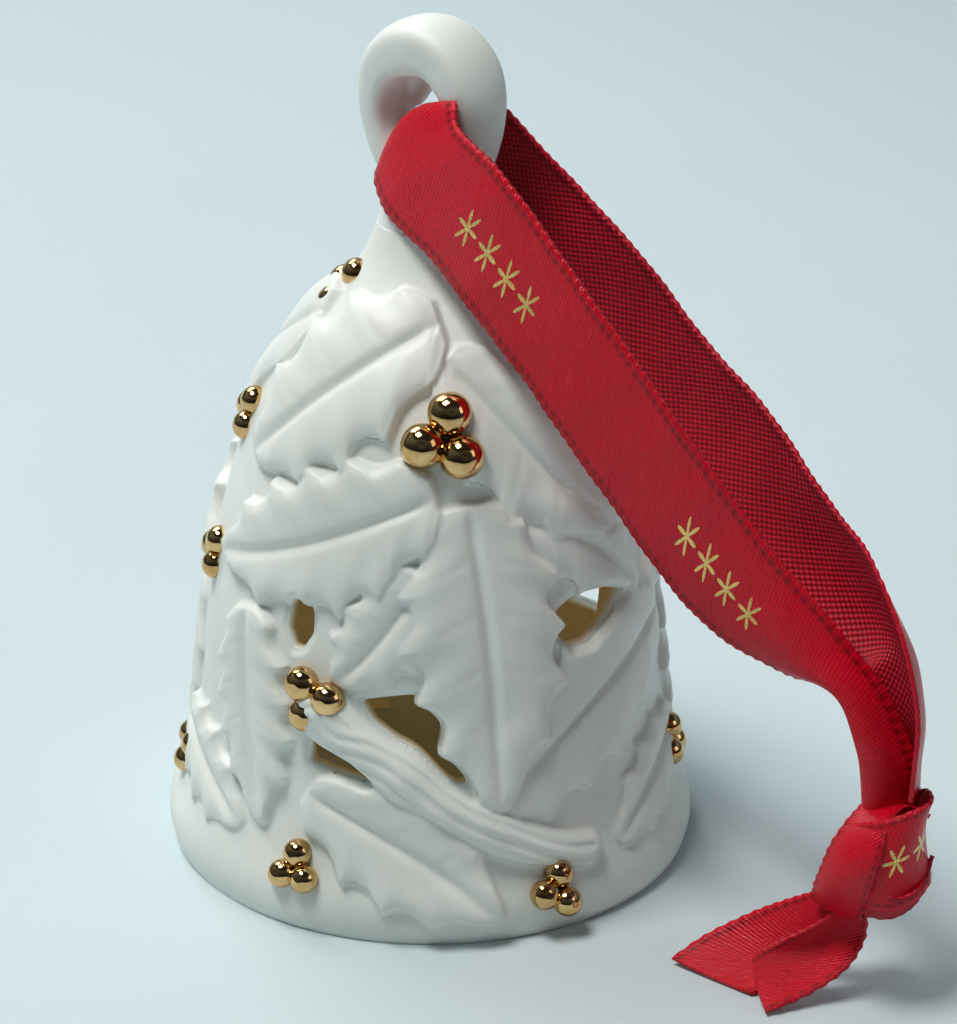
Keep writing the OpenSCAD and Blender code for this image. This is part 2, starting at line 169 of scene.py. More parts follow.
def ramp(nt, fac, stops):
    r = nt.nodes.new("ShaderNodeValToRGB")
    while len(r.color_ramp.elements) < len(stops):
        r.color_ramp.elements.new(0.5)
    for e, (p, c) in zip(r.color_ramp.elements, stops):
        e.position = p
        e.color = (*c, 1)
    nt.links.new(fac, r.inputs[0])
    return r.outputs[0]


def noise(nt, scale, detail=3, rough=0.55, vector=None):
    n = add(nt, "ShaderNodeTexNoise", Scale=scale, Detail=detail, Roughness=rough)
    if vector is None:
        vector = add(nt, "ShaderNodeTexCoord").outputs["Object"]
    nt.links.new(vector, n.inputs["Vector"])
    return n.outputs["Fac"]


def bump(nt, bsdf, height, strength, distance):
    b = add(nt, "ShaderNodeBump", Strength=strength, Distance=distance)
    nt.links.new(height, b.inputs["Height"])
    nt.links.new(b.outputs[0], bsdf.inputs["Normal"])


def bisque(name, inside=False, tint=(1, 1, 1)):
    """Unglazed fine porcelain: matt with a silky bloom, light going a little way in."""
    mat, nt, p = nodes_of(name)
    tone = noise(nt, 90, 4)
    cream = [(0.25, (0.77 * tint[0], 0.81 * tint[1], 0.76 * tint[2])), (0.75, (0.86 * tint[0], 0.90 * tint[1], 0.855 * tint[2]))]
    colour = ramp(nt, tone, cream)
    # inner faces: painted shade (a warm tan for the dark inside of the bell) and a faint painted glow (emission) for
    # light coming through the porcelain
    if inside:
        at = add(nt, "ShaderNodeAttribute", attribute_name="inside")
        mix = add(nt, "ShaderNodeMix", data_type="RGBA")
        nt.links.new(at.outputs["Fac"], mix.inputs["Factor"])
        nt.links.new(colour, mix.inputs[6])
        nt.links.new(ramp(nt, tone, [(0.3, (0.70, 0.55, 0.30)), (0.75, (0.82, 0.68, 0.42))]), mix.inputs[7])
        colour = mix.outputs[2]
        painted_inner_glow = add(nt, "ShaderNodeMix", data_type="RGBA")
        nt.links.new(at.outputs["Fac"], painted_inner_glow.inputs["Factor"])
        painted_inner_glow.inputs[6].default_value = (0, 0, 0, 1)
        painted_inner_glow.inputs[7].default_value = (0.80, 0.60, 0.26, 1)
        nt.links.new(painted_inner_glow.outputs[2], p.inputs["Emission Color"])
        p.inputs["Emission Strength"].default_value = 0.055
    nt.links.new(colour, p.inputs["Base Color"])
    nt.links.new(ramp(nt, noise(nt, 400, 2), [(0.3, (0.40,) * 3), (0.7, (0.50,) * 3)]), p.inputs["Roughness"])
    p.inputs["Subsurface Weight"].default_value = 0.25
    p.inputs["Subsurface Radius"].default_value = (1.0, 0.82, 0.62)
    p.inputs["Subsurface Scale"].default_value = 0.0007
    p.inputs["Specular IOR Level"].default_value = 0.5
    fine = math_node(nt, "ADD", noise(nt, 3500, 2), math_node(nt, "MULTIPLY", noise(nt, 700, 3), 1.5))
    bump(nt, p, fine, 0.16, 0.00006)
    return mat


def gilt():
    """Burnished gold lustre over porcelain, a little uneven where it was brushed."""
    mat, nt, p = nodes_of("gilt")
    nt.links.new(ramp(nt, noise(nt, 500, 4), [(0.3, (0.56, 0.33, 0.12)), (0.7, (0.80, 0.55, 0.27))]), p.inputs["Base Color"])
    p.inputs["Metallic"].default_value = 1
    nt.links.new(ramp(nt, noise(nt, 1200, 3), [(0.35, (0.05,) * 3), (0.75, (0.13,) * 3)]), p.inputs["Roughness"])
    bump(nt, p, noise(nt, 900, 3), 0.25, 0.00007)
    return mat


def brass():
    mat, nt, p = nodes_of("clapper_brass")
    nt.links.new(ramp(nt, noise(nt, 700, 4), [(0.3, (0.50, 0.34, 0.12)), (0.7, (0.72, 0.53, 0.24))]), p.inputs["Base Color"])
    p.inputs["Metallic"].default_value = 1
    nt.links.new(ramp(nt, noise(nt, 1500, 3), [(0.3, (0.25,) * 3), (0.7, (0.42,) * 3)]), p.inputs["Roughness"])
    bump(nt, p, noise(nt, 2600, 2), 0.2, 0.00005)
    return mat


def cement():
    mat, nt, p = nodes_of("crown_cement_grey")
    nt.links.new(ramp(nt, noise(nt, 900, 5), [(0.3, (0.42, 0.41, 0.38)), (0.7, (0.62, 0.60, 0.55))]), p.inputs["Base Color"])
    p.inputs["Roughness"].default_value = 0.85
    bump(nt, p, noise(nt, 2200, 4), 0.6, 0.0002)
    return mat


def satin(foil=()):
    """Single-face satin ribbon. The UV map holds millimetres along and across, over ten; the attribute woven is 1 on the dull side."""
    mat, nt, p = nodes_of("ribbon_satin" if foil else "ribbon_satin_plain")
    uv = add(nt, "ShaderNodeUVMap", uv_map="cloth")
    sep = add(nt, "ShaderNodeSeparateXYZ")
    nt.links.new(uv.outputs[0], sep.inputs[0])
    u = math_node(nt, "MULTIPLY", sep.outputs[0], 10.0)
    v = math_node(nt, "MULTIPLY", sep.outputs[1], 10.0)
    woven = add(nt, "ShaderNodeAttribute", attribute_name="woven").outputs["Fac"]
    # dull side: plain weave, threads 0.42 mm apart
    wu = math_node(nt, "SINE", math_node(nt, "MULTIPLY", u, 2 * math.pi / 0.66))
    wv = math_node(nt, "SINE", math_node(nt, "MULTIPLY", v, 2 * math.pi / 0.66))
    cross = math_node(nt, "MULTIPLY", wu, wv)
    weave = math_node(nt, "MULTIPLY_ADD", cross, 0.5, 0.5)
    # bright side: long floats side by side, each a little different
    lines = add(nt, "ShaderNodeTexNoise", Scale=1.0, Detail=2)
    stretch = add(nt, "ShaderNodeCombineXYZ")
    nt.links.new(math_node(nt, "MULTIPLY", u, 0.9), stretch.inputs[0])
    nt.links.new(math_node(nt, "MULTIPLY", v, 9.0), stretch.inputs[1])
    nt.links.new(stretch.outputs[0], lines.inputs["Vector"])
    slant = math_node(nt, "MULTIPLY_ADD", u, 1.0, math_node(nt, "MULTIPLY", v, 0.35))
    floats = math_node(nt, "SINE", math_node(nt, "MULTIPLY", slant, 2 * math.pi / 0.34))
    smooth = math_node(nt, "MULTIPLY_ADD", floats, 0.16, lines.outputs["Fac"])
    side = add(nt, "ShaderNodeMix", data_type="FLOAT")
    nt.links.new(woven, side.inputs[0])
    nt.links.new(smooth, side.inputs[2])
    nt.links.new(weave, side.inputs[3])
    bright = ramp(nt, smooth, [(0.2, (0.50, 0.001, 0.011)), (0.8, (0.82, 0.004, 0.026))])
    dull = ramp(nt, weave, [(0.1, (0.22, 0.001, 0.008)), (0.6, (0.48, 0.004, 0.022)), (1.0, (0.80, 0.03, 0.06))])
    mix = add(nt, "ShaderNodeMix", data_type="RGBA")
    nt.links.new(woven, mix.inputs["Factor"])
    nt.links.new(bright, mix.inputs[6])
    nt.links.new(dull, mix.inputs[7])
    # selvedge: a tight cord of stitches a little way in from each edge
    beside = math_node(nt, "ABSOLUTE", math_node(nt, "SUBTRACT", math_node(nt, "ABSOLUTE", v), 4.72))
    seam = math_node(nt, "SUBTRACT", 1.0, math_node(nt, "MULTIPLY", beside, 2.6), clamp=True)
    stitch = math_node(nt, "MULTIPLY_ADD", math_node(nt, "SINE", math_node(nt, "MULTIPLY", u, 2 * math.pi / 0.95)), 0.3, 0.55)
    hem = add(nt, "ShaderNodeMix", data_type="RGBA")
    nt.links.new(math_node(nt, "MULTIPLY", seam, stitch), hem.inputs["Factor"])
    nt.links.new(mix.outputs[2], hem.inputs[6])
    hem.inputs[7].default_value = (0.12, 0.001, 0.006, 1)
    colour = hem.outputs[2]
    rough = math_node(nt, "MULTIPLY_ADD", woven, 0.26, 0.27)
    height = side.outputs[0]
    if foil:
        # small six-armed snow stars stamped in gold foil, four in a row at each place
        mask = None
        pitch = 2.75
        for u0, keep in foil:
            along = math_node(nt, "SUBTRACT", u, u0)
            within = math_node(nt, "LESS_THAN", math_node(nt, "ABSOLUTE", along), 2 * pitch)
            cell = math_node(nt, "SUBTRACT", math_node(nt, "WRAP", along, pitch, 0.0), pitch / 2)
            across = math_node(nt, "ADD", v, 0.25)
            r = math_node(nt, "SQRT", math_node(nt, "ADD", math_node(nt, "MULTIPLY", cell, cell), math_node(nt, "MULTIPLY", math_node(nt, "MULTIPLY", across, across), 0.42)))
            ang = math_node(nt, "ARCTAN2", math_node(nt, "MULTIPLY", across, 0.65), cell)
            arm = math_node(nt, "POWER", math_node(nt, "ABSOLUTE", math_node(nt, "COSINE", math_node(nt, "MULTIPLY", ang, 3.0))), 4.0)
            edge = math_node(nt, "MULTIPLY_ADD", arm, 0.95, 0.22)
            star = math_node(nt, "LESS_THAN", r, edge)
            worn = math_node(nt, "GREATER_THAN", noise(nt, 2.4, 4, 0.6, vector=stretch.outputs[0]), 1.0 - keep)
            one = math_node(nt, "MULTIPLY", math_node(nt, "MULTIPLY", star, within), worn)
            mask = one if mask is None else math_node(nt, "MAXIMUM", mask, one)
        mask = math_node(nt, "MULTIPLY", mask, math_node(nt, "SUBTRACT", 1.0, woven), clamp=True)
        gold = add(nt, "ShaderNodeMix", data_type="RGBA")
        nt.links.new(mask, gold.inputs["Factor"])
        nt.links.new(colour, gold.inputs[6])
        gold.inputs[7].default_value = (0.84, 0.60, 0.20, 1)
        colour = gold.outputs[2]
        nt.links.new(mask, p.inputs["Metallic"])
        rough = math_node(nt, "MULTIPLY_ADD", mask, -0.12, rough)
    nt.links.new(colour, p.inputs["Base Color"])
    nt.links.new(rough, p.inputs["Roughness"])
    p.inputs["Sheen Weight"].default_value = 0.03
    p.inputs["Sheen Roughness"].default_value = 0.35
    p.inputs["Sheen Tint"].default_value = (1.0, 0.35, 0.35, 1)
    p.inputs["Specular IOR Level"].default_value = 0.3
    bump(nt, p, height, 0.7, 0.00012)
    return mat


BISQUE = bisque("bisque_white")
# the shell's inner faces get painted warm shade and a faint painted glow
SHELL = bisque("bisque_shell", inside=True)
GILT = gilt()
BRASS = brass()
CEMENT = cement()
FOIL_1 = 95.0
SATIN = satin(foil=((FOIL_1, 0.9), (FOIL_1 + 31.5, 0.62), (FOIL_1 + 62.0, 0.75)))
PLAIN = satin()

# ------------------------------------------------------------------ the bell's wall
OUTER = np.array([[0, 23.6], [1, 24.2], [3.6, 24.1], [6, 22.7], [10, 21.6], [15, 20.9], [20, 20.4], [25, 19.9],
                  [30, 19.0], [34, 18.0], [38, 16.9], [42, 15.6], [45, 14.1], [48, 12.1], [50.5, 9.9], [53, 7.4],
                  [55.5, 5.6], [58, 4.8]])
fine_z = np.interp(np.linspace(0, 1, 4000), np.linspace(0, 1, len(OUTER)), OUTER[:, 0])
fine_r = np.interp(fine_z, OUTER[:, 0], OUTER[:, 1])
step = np.hypot(np.diff(fine_z), np.diff(fine_r))
arc = np.concatenate([[0], np.cumsum(step)])
LONG = arc[-1]
dense = np.linspace(0, LONG, 2600)
dz, dr = np.interp(dense, arc, fine_z), np.interp(dense, arc, fine_r)
sig = 1.1 / (dense[1] - dense[0])
k = np.exp(-0.5 * (np.arange(-int(3 * sig), int(3 * sig) + 1) / sig) ** 2)
k /= k.sum()


def ends_kept(x):
    n = len(k) // 2
    lo, hi = 2 * x[0] - x[n:0:-1], 2 * x[-1] - x[-2:-n - 2:-1]
    return np.convolve(np.concatenate([lo, x, hi]), k, "valid")


PZ, PR = ends_kept(dz), ends_kept(dr)
TZ, TR = np.gradient(PZ, dense), np.gradient(PR, dense)
tl = np.hypot(TZ, TR)
NR_, NZ_ = TZ / tl, -TR / tl
INNER = np.array([[0, 22.7], [1, 22.83], [3.6, 22.73], [6, 21.33], [10, 20.23], [15, 19.53], [20, 19.03], [25, 18.53],
                  [30, 17.63], [34, 16.63], [38, 15.53], [42, 14.23], [45, 12.5], [48, 10.3], [50.5, 8.1], [53, 4.6]])

NS, NT = 380, 1080
S1 = np.linspace(0, LONG, NS)
T1 = -math.pi + 2 * math.pi * np.arange(NT) / NT
SS, TT = np.meshgrid(S1, T1, indexing="ij")


def at(s, what):
    return np.interp(s, dense, what)


def wall_point(s, t, h):
    """Point h above the wall's outer face."""
    r, z = at(s, PR) + h * at(s, NR_), at(s, PZ) + h * at(s, NZ_)
    return np.stack([r * np.sin(t), -r * np.cos(t), z], -1)


# [centre angle, base x, base z, tip x, tip z, half width, bow, spines, thickness]
THICK, THIN = 1.3, 0.9
LEAVES = {
    "A": [-36, 6.6, 52.4, -8, 39.4, 6.9, -0.4, 4, THICK], "B": [36, -6.5, 50, 6.5, 33.8, 6, -1, 4, THIN],
    "C": [-30, 9.6, 39.5, -12.4, 30.2, 6.4, 0.6, 5, THICK], "D": [13, -1, 39.2, 1, 12, 7.4, 0.4, 5, THICK],
    "E": [42, -6, 37, 8, 27.6, 4.8, 1.2, 4, THIN], "F": [42, 12.4, 24.5, -12, 10.4, 7, -2, 5, THIN],
    "G": [-8, -8.4, 12.8, 9.6, 2.6, 5.6, 1, 4, THICK], "H": [-66, -8, 12.4, 7.4, 7.4, 4.2, 0.6, 4, THIN],
    "I": [-48, -1.6, 27.6, 2.6, 8.6, 5.2, -0.6, 5, THICK], "J": [-12, 3.6, 33, -4.2, 22.6, 4.6, 0.4, 4, THIN],
    "K": [63, 8, 12.6, -7, 6.4, 4.2, -0.6, 4, THIN], "M": [-106, 6.6, 51.6, -9.4, 38.6, 7, 0.6, 4, THIN],
    "N": [150, -6.4, 52, 9, 37.7, 7, -0.6, 4, THICK], "O": [94, -6, 49, 8, 35.6, 6.4, -1, 4, THIN],
    "P": [178, 0.8, 39.6, -1, 11.4, 7.6, 0.4, 5, THICK], "Q": [110, 9.6, 38, -12.6, 26.6, 6.8, 0.8, 5, THICK],
    "R": [-122, -10, 38, 11, 27, 6.6, -0.8, 5, THICK], "S": [102, 1, 25, -1.6, 7, 5.8, -0.6, 4, THIN],
    "T": [-144, 10, 25, -10, 9.6, 7, -1.4, 5, THIN], "U": [-96, 1, 26, -2.6, 7, 5.6, 0.6, 4, THIN],
    "V": [140, -9, 14, 10, 3, 5.4, 1, 4, THICK], "X": [-124, -9, 12.4, 9, 3, 5, 0.8, 4, THIN]}
LEAF_NODES = {
    "A": "leaf_shoulder_left", "B": "leaf_shoulder_right", "C": "leaf_middle_left", "D": "leaf_centre",
    "E": "leaf_middle_right", "F": "leaf_lower_right", "G": "leaf_bottom_centre", "H": "leaf_bottom_left",
    "I": "leaf_lower_left", "J": "leaf_small_centre", "K": "leaf_bottom_right", "M": "leaf_back_shoulder_left",
    "N": "leaf_back_shoulder_right", "O": "leaf_side_shoulder", "P": "leaf_back_centre",
    "Q": "leaf_back_middle_right", "R": "leaf_back_middle_left", "S": "leaf_side_right",
    "T": "leaf_back_lower_left", "U": "leaf_side_left", "V": "leaf_back_bottom_right", "X": "leaf_back_bottom_left",
    "TF": "twig_front", "TB": "twig_back"}
# from the lowest to the one on top
ORDER = ["K", "X", "V", "G", "U", "H", "Q", "T", "J", "F", "E", "I", "R", "O", "P", "TB", "TF", "D", "C", "B",
         "M", "N", "S", "A"]
UNCUT = ["D", "P", "N", "A", "M", "S", "TF", "TB"]
TWIGS = {"TF": [[-27, 19.8], [-22, 18.6], [-16, 17.4], [-6, 15.2], [4, 12.4], [14, 9.8], [26, 7.8], [36, 7]],
         "TB": [[146, 20.5], [154, 18.6], [162, 15.4], [170, 11.6], [178, 8.4]]}
WINDOWS = [
    [-35, [[-1.5, 26.4], [-1.4, 28.4], [0, 29.6], [1.2, 28.6], [1.4, 26.6], [0.4, 24.9], [-0.6, 24.7]]],
    [47, [[-4.6, 28.4], [-2.6, 29.2], [1, 29.1], [4.4, 27.8], [1, 26], [-1.6, 24.8], [-3.8, 24.9], [-4.8, 26.6]]],
    [-2, [[-5.6, 21.4], [-3.6, 21.9], [-0.6, 22.4], [0.9, 20.6], [2.6, 18.7], [5, 14.2], [3, 14.2], [0.6, 15.8],
          [-2, 18], [-4.4, 19.6]]],
    [-22, [[-3, 17.5], [-3.1, 14.9], [0, 14.5], [3, 14.1], [1.4, 16.1], [-1, 17.4]]],
    [-104, [[-2, 27], [0, 28.2], [2.2, 27.4], [1.8, 25.4], [-1, 24.8]]],
    [76, [[-2, 34.6], [0.6, 35.6], [2, 33.6], [0, 32], [-1.8, 32.6]]],
    [148, [[-2.8, 31.4], [0, 32.6], [2.6, 31.2], [1.8, 28.4], [-1, 27.6]]],
    [-158, [[-2, 27], [1.6, 28], [2.6, 25.6], [0, 23.8], [-1.8, 24.6]]],
    [134, [[-3.4, 18.6], [0, 19.8], [3.2, 18.2], [2, 15.2], [-2.6, 15.4]]],
    [-120, [[-2.4, 20.3], [0.4, 21], [2.6, 19], [1.2, 15.6], [-2, 16.4]]]]
# [angle, height, berry radius, turn, stand-off of the centres]
BERRIES = {
    "berries_front": [4, 43.8, 1.75, 75, 0.9], "berries_left": [-29, 21, 1.4, 10, 0.75],
    "berries_low_left": [-30, 5.7, 1.15, 90, 0.6], "berries_low_right": [27, 4.3, 1.2, 65, 0.6],
    "berries_shoulder": [-84, 52.4, 1.2, 60, 0.4], "berries_side_high": [-85, 40.9, 1.2, 60, 0.4],
    "berries_side_middle": [-80, 28.4, 1.2, 60, 0.4], "berries_side_low": [-82, 8.8, 1.2, 30, 0.4],
    "berries_right_low": [80, 10, 1.2, 90, 0.45], "berries_back_high": [176, 44.4, 1.75, 30, 0.9],
    "berries_back_left": [-150, 28.3, 1.4, 80, 0.8], "berries_back_right": [136, 24.3, 1.4, 50, 0.8],
    "berries_back_low": [-168, 5.6, 1.15, 90, 0.6]}
SPREAD, FAT = 1.1, 1.1


def patch(angle, reach=75):
    """Columns of the grid within reach degrees of an angle."""
    c0 = int(round((angle - reach + 180) / 360 * NT))
    return (c0 + np.arange(int(2 * reach / 360 * NT))) % NT


def square_on(angle, cols, rows, lift=0.9):
    """x and z of grid points seen square on at an angle."""
    dth = TT[np.ix_(rows, cols)] - math.radians(angle)
    s = SS[np.ix_(rows, cols)]
    return (at(s, PR) + lift * at(s, NR_)) * np.sin(dth), at(s, PZ) + lift * at(s, NZ_)


def leaf_env(t):
    return np.maximum(np.sin(math.pi * np.clip(t, 0, 1) ** 0.8), 0) ** 0.62


def leaf_outline(l, seed):
    """Spiny outline: shallow hollows between points that lean a little towards the tip."""
    g = np.random.default_rng(seed)
    _, bx, bz, tx, tz, half, bow, n, _ = l
    dx, dz_ = tx - bx, tz - bz
    long = math.hypot(dx, dz_)
    ux, uz = dx / long, dz_ / long
    sides = []
    for sign in (1, -1):
        t = np.linspace(0.02, 1, 150)
        st = 0.86 / n
        seg = np.clip(np.floor((t - 0.1) / st), -1, n - 1)
        start = 0.1 + st * seg
        width = np.where(seg == n - 1, 1 - start, st)
        f = np.clip((t - start) / width, 0, 1)
        deep = g.uniform(0.8, 1.2, n + 1)[(seg + 1).astype(int)]
        dip = np.where(seg < 0, 0.0, 0.20 * deep * np.sin(math.pi * f) ** 1.05)
        near = np.minimum(f, 1 - f)
        lean = np.where(seg < 0, 0, 0.014 * np.exp(-(near / 0.16) ** 2))
        w = leaf_env(t) * (1 - dip) + np.where(seg < 0, 0, 0.025 * np.exp(-(near / 0.15) ** 2)) * leaf_env(t)
        sides.append(np.stack([t + lean, sign * w], 1))
    ring = np.concatenate([sides[0], sides[1][::-1][1:]])
    a = ring[:, 0] * long
    c = ring[:, 1] * half + bow * np.sin(math.pi * np.clip(ring[:, 0], 0, 1))
    return np.stack([bx + a * ux - c * uz, bz + a * uz + c * ux], 1)


H = 0.05 * wave_noise(*np.moveaxis(wall_point(SS, TT, 0), -1, 0), 14, 3)
LABEL = np.zeros((NS, NT), int)
distance = {}
CELL = LONG / (NS - 1)


def lay(name, rows, cols, d, top, soft=0.34):
    """Adds a form on top of what is there, with a soft foot."""
    sub = np.ix_(rows, cols)
    below = H[sub]
    mask = smoothstep(-0.22, soft, d)
    rest_on = blurred[sub]
    raised = top + 0.42 * np.clip(rest_on, 0, 2)
    H[sub] = below * (1 - mask) + np.maximum(raised, below * 0.9) * mask
    LABEL[sub] = np.where(d > 0.05, INDEX[name], LABEL[sub])
    full = np.full((NS, NT), -9.0)
    full[sub] = d
    distance[name] = full


INDEX = {n: i + 1 for i, n in enumerate(ORDER)}
for name in ORDER:
    blurred = blur(H, 5, 6)
    if name in LEAVES:
        l = LEAVES[name]
        poly = leaf_outline(l, 11 + INDEX[name])
        rows = np.where((at(S1, PZ) > poly[:, 1].min() - 2.5) & (at(S1, PZ) < poly[:, 1].max() + 2))[0]
        cols = patch(l[0], 78)
        x, z = square_on(l[0], cols, rows)
        d = polygon_distance(x, z, poly)
        long = math.hypot(l[3] - l[1], l[4] - l[2])
        ux, uz = (l[3] - l[1]) / long, (l[4] - l[2]) / long
        a = ((x - l[1]) * ux + (z - l[2]) * uz) / long
        c = -(x - l[1]) * uz + (z - l[2]) * ux - l[6] * np.sin(math.pi * np.clip(a, 0, 1))
        env = np.maximum(leaf_env(a), 0.08)
        v = np.clip(c / (l[5] * env), -1.2, 1.2)
        av = np.abs(v)
        inner = smoothstep(0, 1.6, d)
        halves = 0.30 * np.sin(math.pi * np.clip(av, 0, 1)) ** 1.2 * env
        rib = -0.42 * np.exp(-(c / 0.5) ** 2) * smoothstep(0.0, 0.12, a) * (1 - 0.6 * smoothstep(0.7, 1.0, a))
        st = 0.86 / l[7]
        ph = (a - 0.1 + 0.55 * st * (1 - av)) / st
        wave = 0.13 * np.cos(2 * math.pi * ph) * smoothstep(0.1, 0.8, av) * smoothstep(0.03, 0.15, a)
        vein = -0.055 * np.exp(-((ph - np.round(ph)) / 0.10) ** 2) * smoothstep(0.02, 0.2, av) * (1 - smoothstep(0.75, 1.0, av))
        curl = 0.16 * np.exp(-(d / 0.7) ** 2) * smoothstep(0.0, 0.6, np.cos(2 * math.pi * ph))
        high = l[8] - 0.28
        tilt = 0.10 * v * (1 if l[1] < l[3] else -1)
        top = high * (0.74 + 0.26 * smoothstep(0.0, 1.1, d)) + (halves + rib + wave + vein) * (0.35 + 0.65 * inner) + curl + tilt
        lay(name, rows, cols, d, top)
    else:
        t = np.array(TWIGS[name], float)
        mid = t[len(t) // 2, 0]
        zs = np.interp(np.linspace(0, 1, 90), np.linspace(0, 1, len(t)), t[:, 1])
        ts = np.interp(np.linspace(0, 1, 90), np.linspace(0, 1, len(t)), t[:, 0])
        for _ in range(30):
            zs[1:-1] = (zs[:-2] + 2 * zs[1:-1] + zs[2:]) / 4
            ts[1:-1] = (ts[:-2] + 2 * ts[1:-1] + ts[2:]) / 4
        line = np.stack([(np.interp(zs, PZ, PR) + 1) * np.sin(np.radians(ts - mid)), zs], 1)
        rows = np.where((at(S1, PZ) > zs.min() - 4) & (at(S1, PZ) < zs.max() + 4))[0]
        cols = patch(mid, 60)
        x, z = square_on(mid, cols, rows)
        best, along, side = np.full(x.shape, 1e9), np.zeros(x.shape), np.zeros(x.shape)
        for i in range(len(line) - 1):
            p0, e = line[i], line[i + 1] - line[i]
            f = np.clip(((x - p0[0]) * e[0] + (z - p0[1]) * e[1]) / (e @ e), 0, 1)
            qx, qz = x - p0[0] - f * e[0], z - p0[1] - f * e[1]
            dd = np.hypot(qx, qz)
            near = dd < best
            best = np.where(near, dd, best)
            along = np.where(near, (i + f) / (len(line) - 1), along)
            side = np.where(near, np.sign(e[0] * qz - e[1] * qx) * dd, side)
        w = 2.25 - 0.75 * along + 0.12 * np.sin(along * 19) + 0.25 * np.exp(-((along - 0.42) / 0.06) ** 2)
        q = np.clip(best / w, 0, 1)
        twist = side + 0.5 * np.sin(along * 9)
        grooves = 0.13 * np.sin(twist * 5.2 + 2.2 * np.sin(along * 14)) + 0.06 * np.sin(twist * 11 + along * 30)
        knot = 0.35 * np.exp(-(((along - 0.42) / 0.05) ** 2 + (side / 1.0) ** 2))
        top = 0.35 + (1.5 - 0.55 * along) * np.sqrt(np.maximum(1 - q ** 2, 0)) + grooves * (1 - q ** 4) + knot
        lay(name, rows, cols, w - best, top, 0.25)

# small mounds under the berries
for b in BERRIES.values():
    cols = patch(b[0], 30)
    rows = np.where(np.abs(at(S1, PZ) - b[1]) < 7)[0]
    x, z = square_on(b[0], cols, rows)
    d2 = x ** 2 + (z - b[1]) ** 2
    H[np.ix_(rows, cols)] += 0.22 * np.exp(-d2 / (1.7 * b[2]) ** 2)

# openings
hole = np.full((NS, NT), 9.0)
for angle, poly in WINDOWS:
    poly = np.array(poly, float)
    cols = patch(angle, 40)
    rows = np.where((at(S1, PZ) > poly[:, 1].min() - 3) & (at(S1, PZ) < poly[:, 1].max() + 3))[0]
    x, z = square_on(angle, cols, rows, 0.6)
    sub = np.ix_(rows, cols)
    hole[sub] = np.minimum(hole[sub], -polygon_distance(x, z, poly))
for name in UNCUT:
    hole = np.maximum(hole, np.minimum(distance[name] + 0.12, 9.0))
near_hole = blur(np.clip(hole, -4, 4), 1.3, 1.6)
hole = near_hole
H = blur(H, 0.75, 0.9)
H -= 0.5 * np.exp(-(np.maximum(hole, 0) / 0.34) ** 2)
H *= 1 - smoothstep(LONG - 4.5, LONG - 2.0, SS)
H *= smoothstep(0.0, 0.9, SS) * 0.75 + 0.25
H = np.maximum(H, -0.3)

# vertices along the rim of an opening move on to its outline
keep_v = hole > -0.45 * CELL
keep_q = keep_v[:-1] & keep_v[1:] & np.roll(keep_v, -1, 1)[:-1] & np.roll(keep_v, -1, 1)[1:]
used = np.zeros((NS, NT), int)
for a in (0, 1):
    for b in (0, 1):
        used[a:NS - 1 + a] += np.roll(keep_q, b, 1)
edge_v = (used > 0) & (used < 4) & (SS > CELL) & (SS < LONG - CELL)
gs = np.gradient(hole, S1, axis=0)
rr = at(SS, PR)
gt = (np.roll(hole, -1, 1) - np.roll(hole, 1, 1)) / (2 * (2 * math.pi / NT) * rr)
gl = np.maximum(gs ** 2 + gt ** 2, 0.05)
move = np.where(edge_v & (np.abs(hole) < 2.2 * CELL), hole, 0)
S2 = SS - move * gs / gl
T2 = TT - move * gt / gl / rr
P = wall_point(S2, T2, H)
du = np.roll(P, -1, 1) - np.roll(P, 1, 1)
dv = np.gradient(P, axis=0)
N = np.cross(du, dv)
N /= np.maximum(np.linalg.norm(N, axis=2, keepdims=True), 1e-12)
if (N[NS // 2, :, 0] * P[NS // 2, :, 0] + N[NS // 2, :, 1] * P[NS // 2, :, 1]).mean() < 0:
    N = -N

idx = np.arange(NS * NT).reshape(NS, NT)
quads = np.stack([idx[:-1], np.roll(idx, -1, 1)[:-1], np.roll(idx, -1, 1)[1:], idx[1:]], -1)
qlabel = LABEL[:-1].copy()
for a, b in ((0, 1), (1, 0), (1, 1)):
    qlabel = np.maximum(qlabel, np.roll(LABEL, -b, 1)[a:NS - 1 + a]) if False else qlabel


def boundary(q):
    """Directed edges of a set of quads that belong to one quad only."""
    e = np.concatenate([q[:, [0, 1]], q[:, [1, 2]], q[:, [2, 3]], q[:, [3, 0]]])
    key = e[:, 0].astype(np.int64) * (NS * NT) + e[:, 1]
    back = e[:, 1].astype(np.int64) * (NS * NT) + e[:, 0]
    return e[~np.isin(key, back)]


def closed_piece(q, outer, under, outer_n, at_hole):
    """A closed mesh: quads q on the outer points, the same quads turned over on the under points, and a wall between."""
    e = boundary(q)
    ids = np.unique(q)
    remap = np.full(NS * NT, -1)
    remap[ids] = np.arange(len(ids))
    n = len(ids)
    top = remap[q]
    low = remap[q][:, ::-1] + n
    wall = np.stack([remap[e[:, 1]], remap[e[:, 0]], remap[e[:, 0]] + n, remap[e[:, 1]] + n], 1)
    v = np.concatenate([outer[ids], under[ids]])
    f = np.concatenate([top, low, wall])
    auto = vertex_normals(v, f)
    normals = auto.copy()
    plain = ~at_hole[ids]
    normals[:n][plain] = outer_n[ids][plain]
    return v, f, normals, n


flatP, flatN = P.reshape(-1, 3), N.reshape(-1, 3)
under = wall_point(S2, T2, np.full((NS, NT), -0.22)).reshape(-1, 3)
at_hole = (edge_v & (np.abs(hole) < 2.2 * CELL)).ravel()
kq = quads[keep_q]
kl = qlabel[keep_q]
for name in ORDER:
    q = kq[kl == INDEX[name]]
    if len(q) == 0:
        continue
    v, f, n, _ = closed_piece(q, flatP, under, flatN, at_hole)
    mesh_object(LEAF_NODES[name] + "_relief", v, f, BISQUE, "bell", (LEAF_NODES[name],), n)

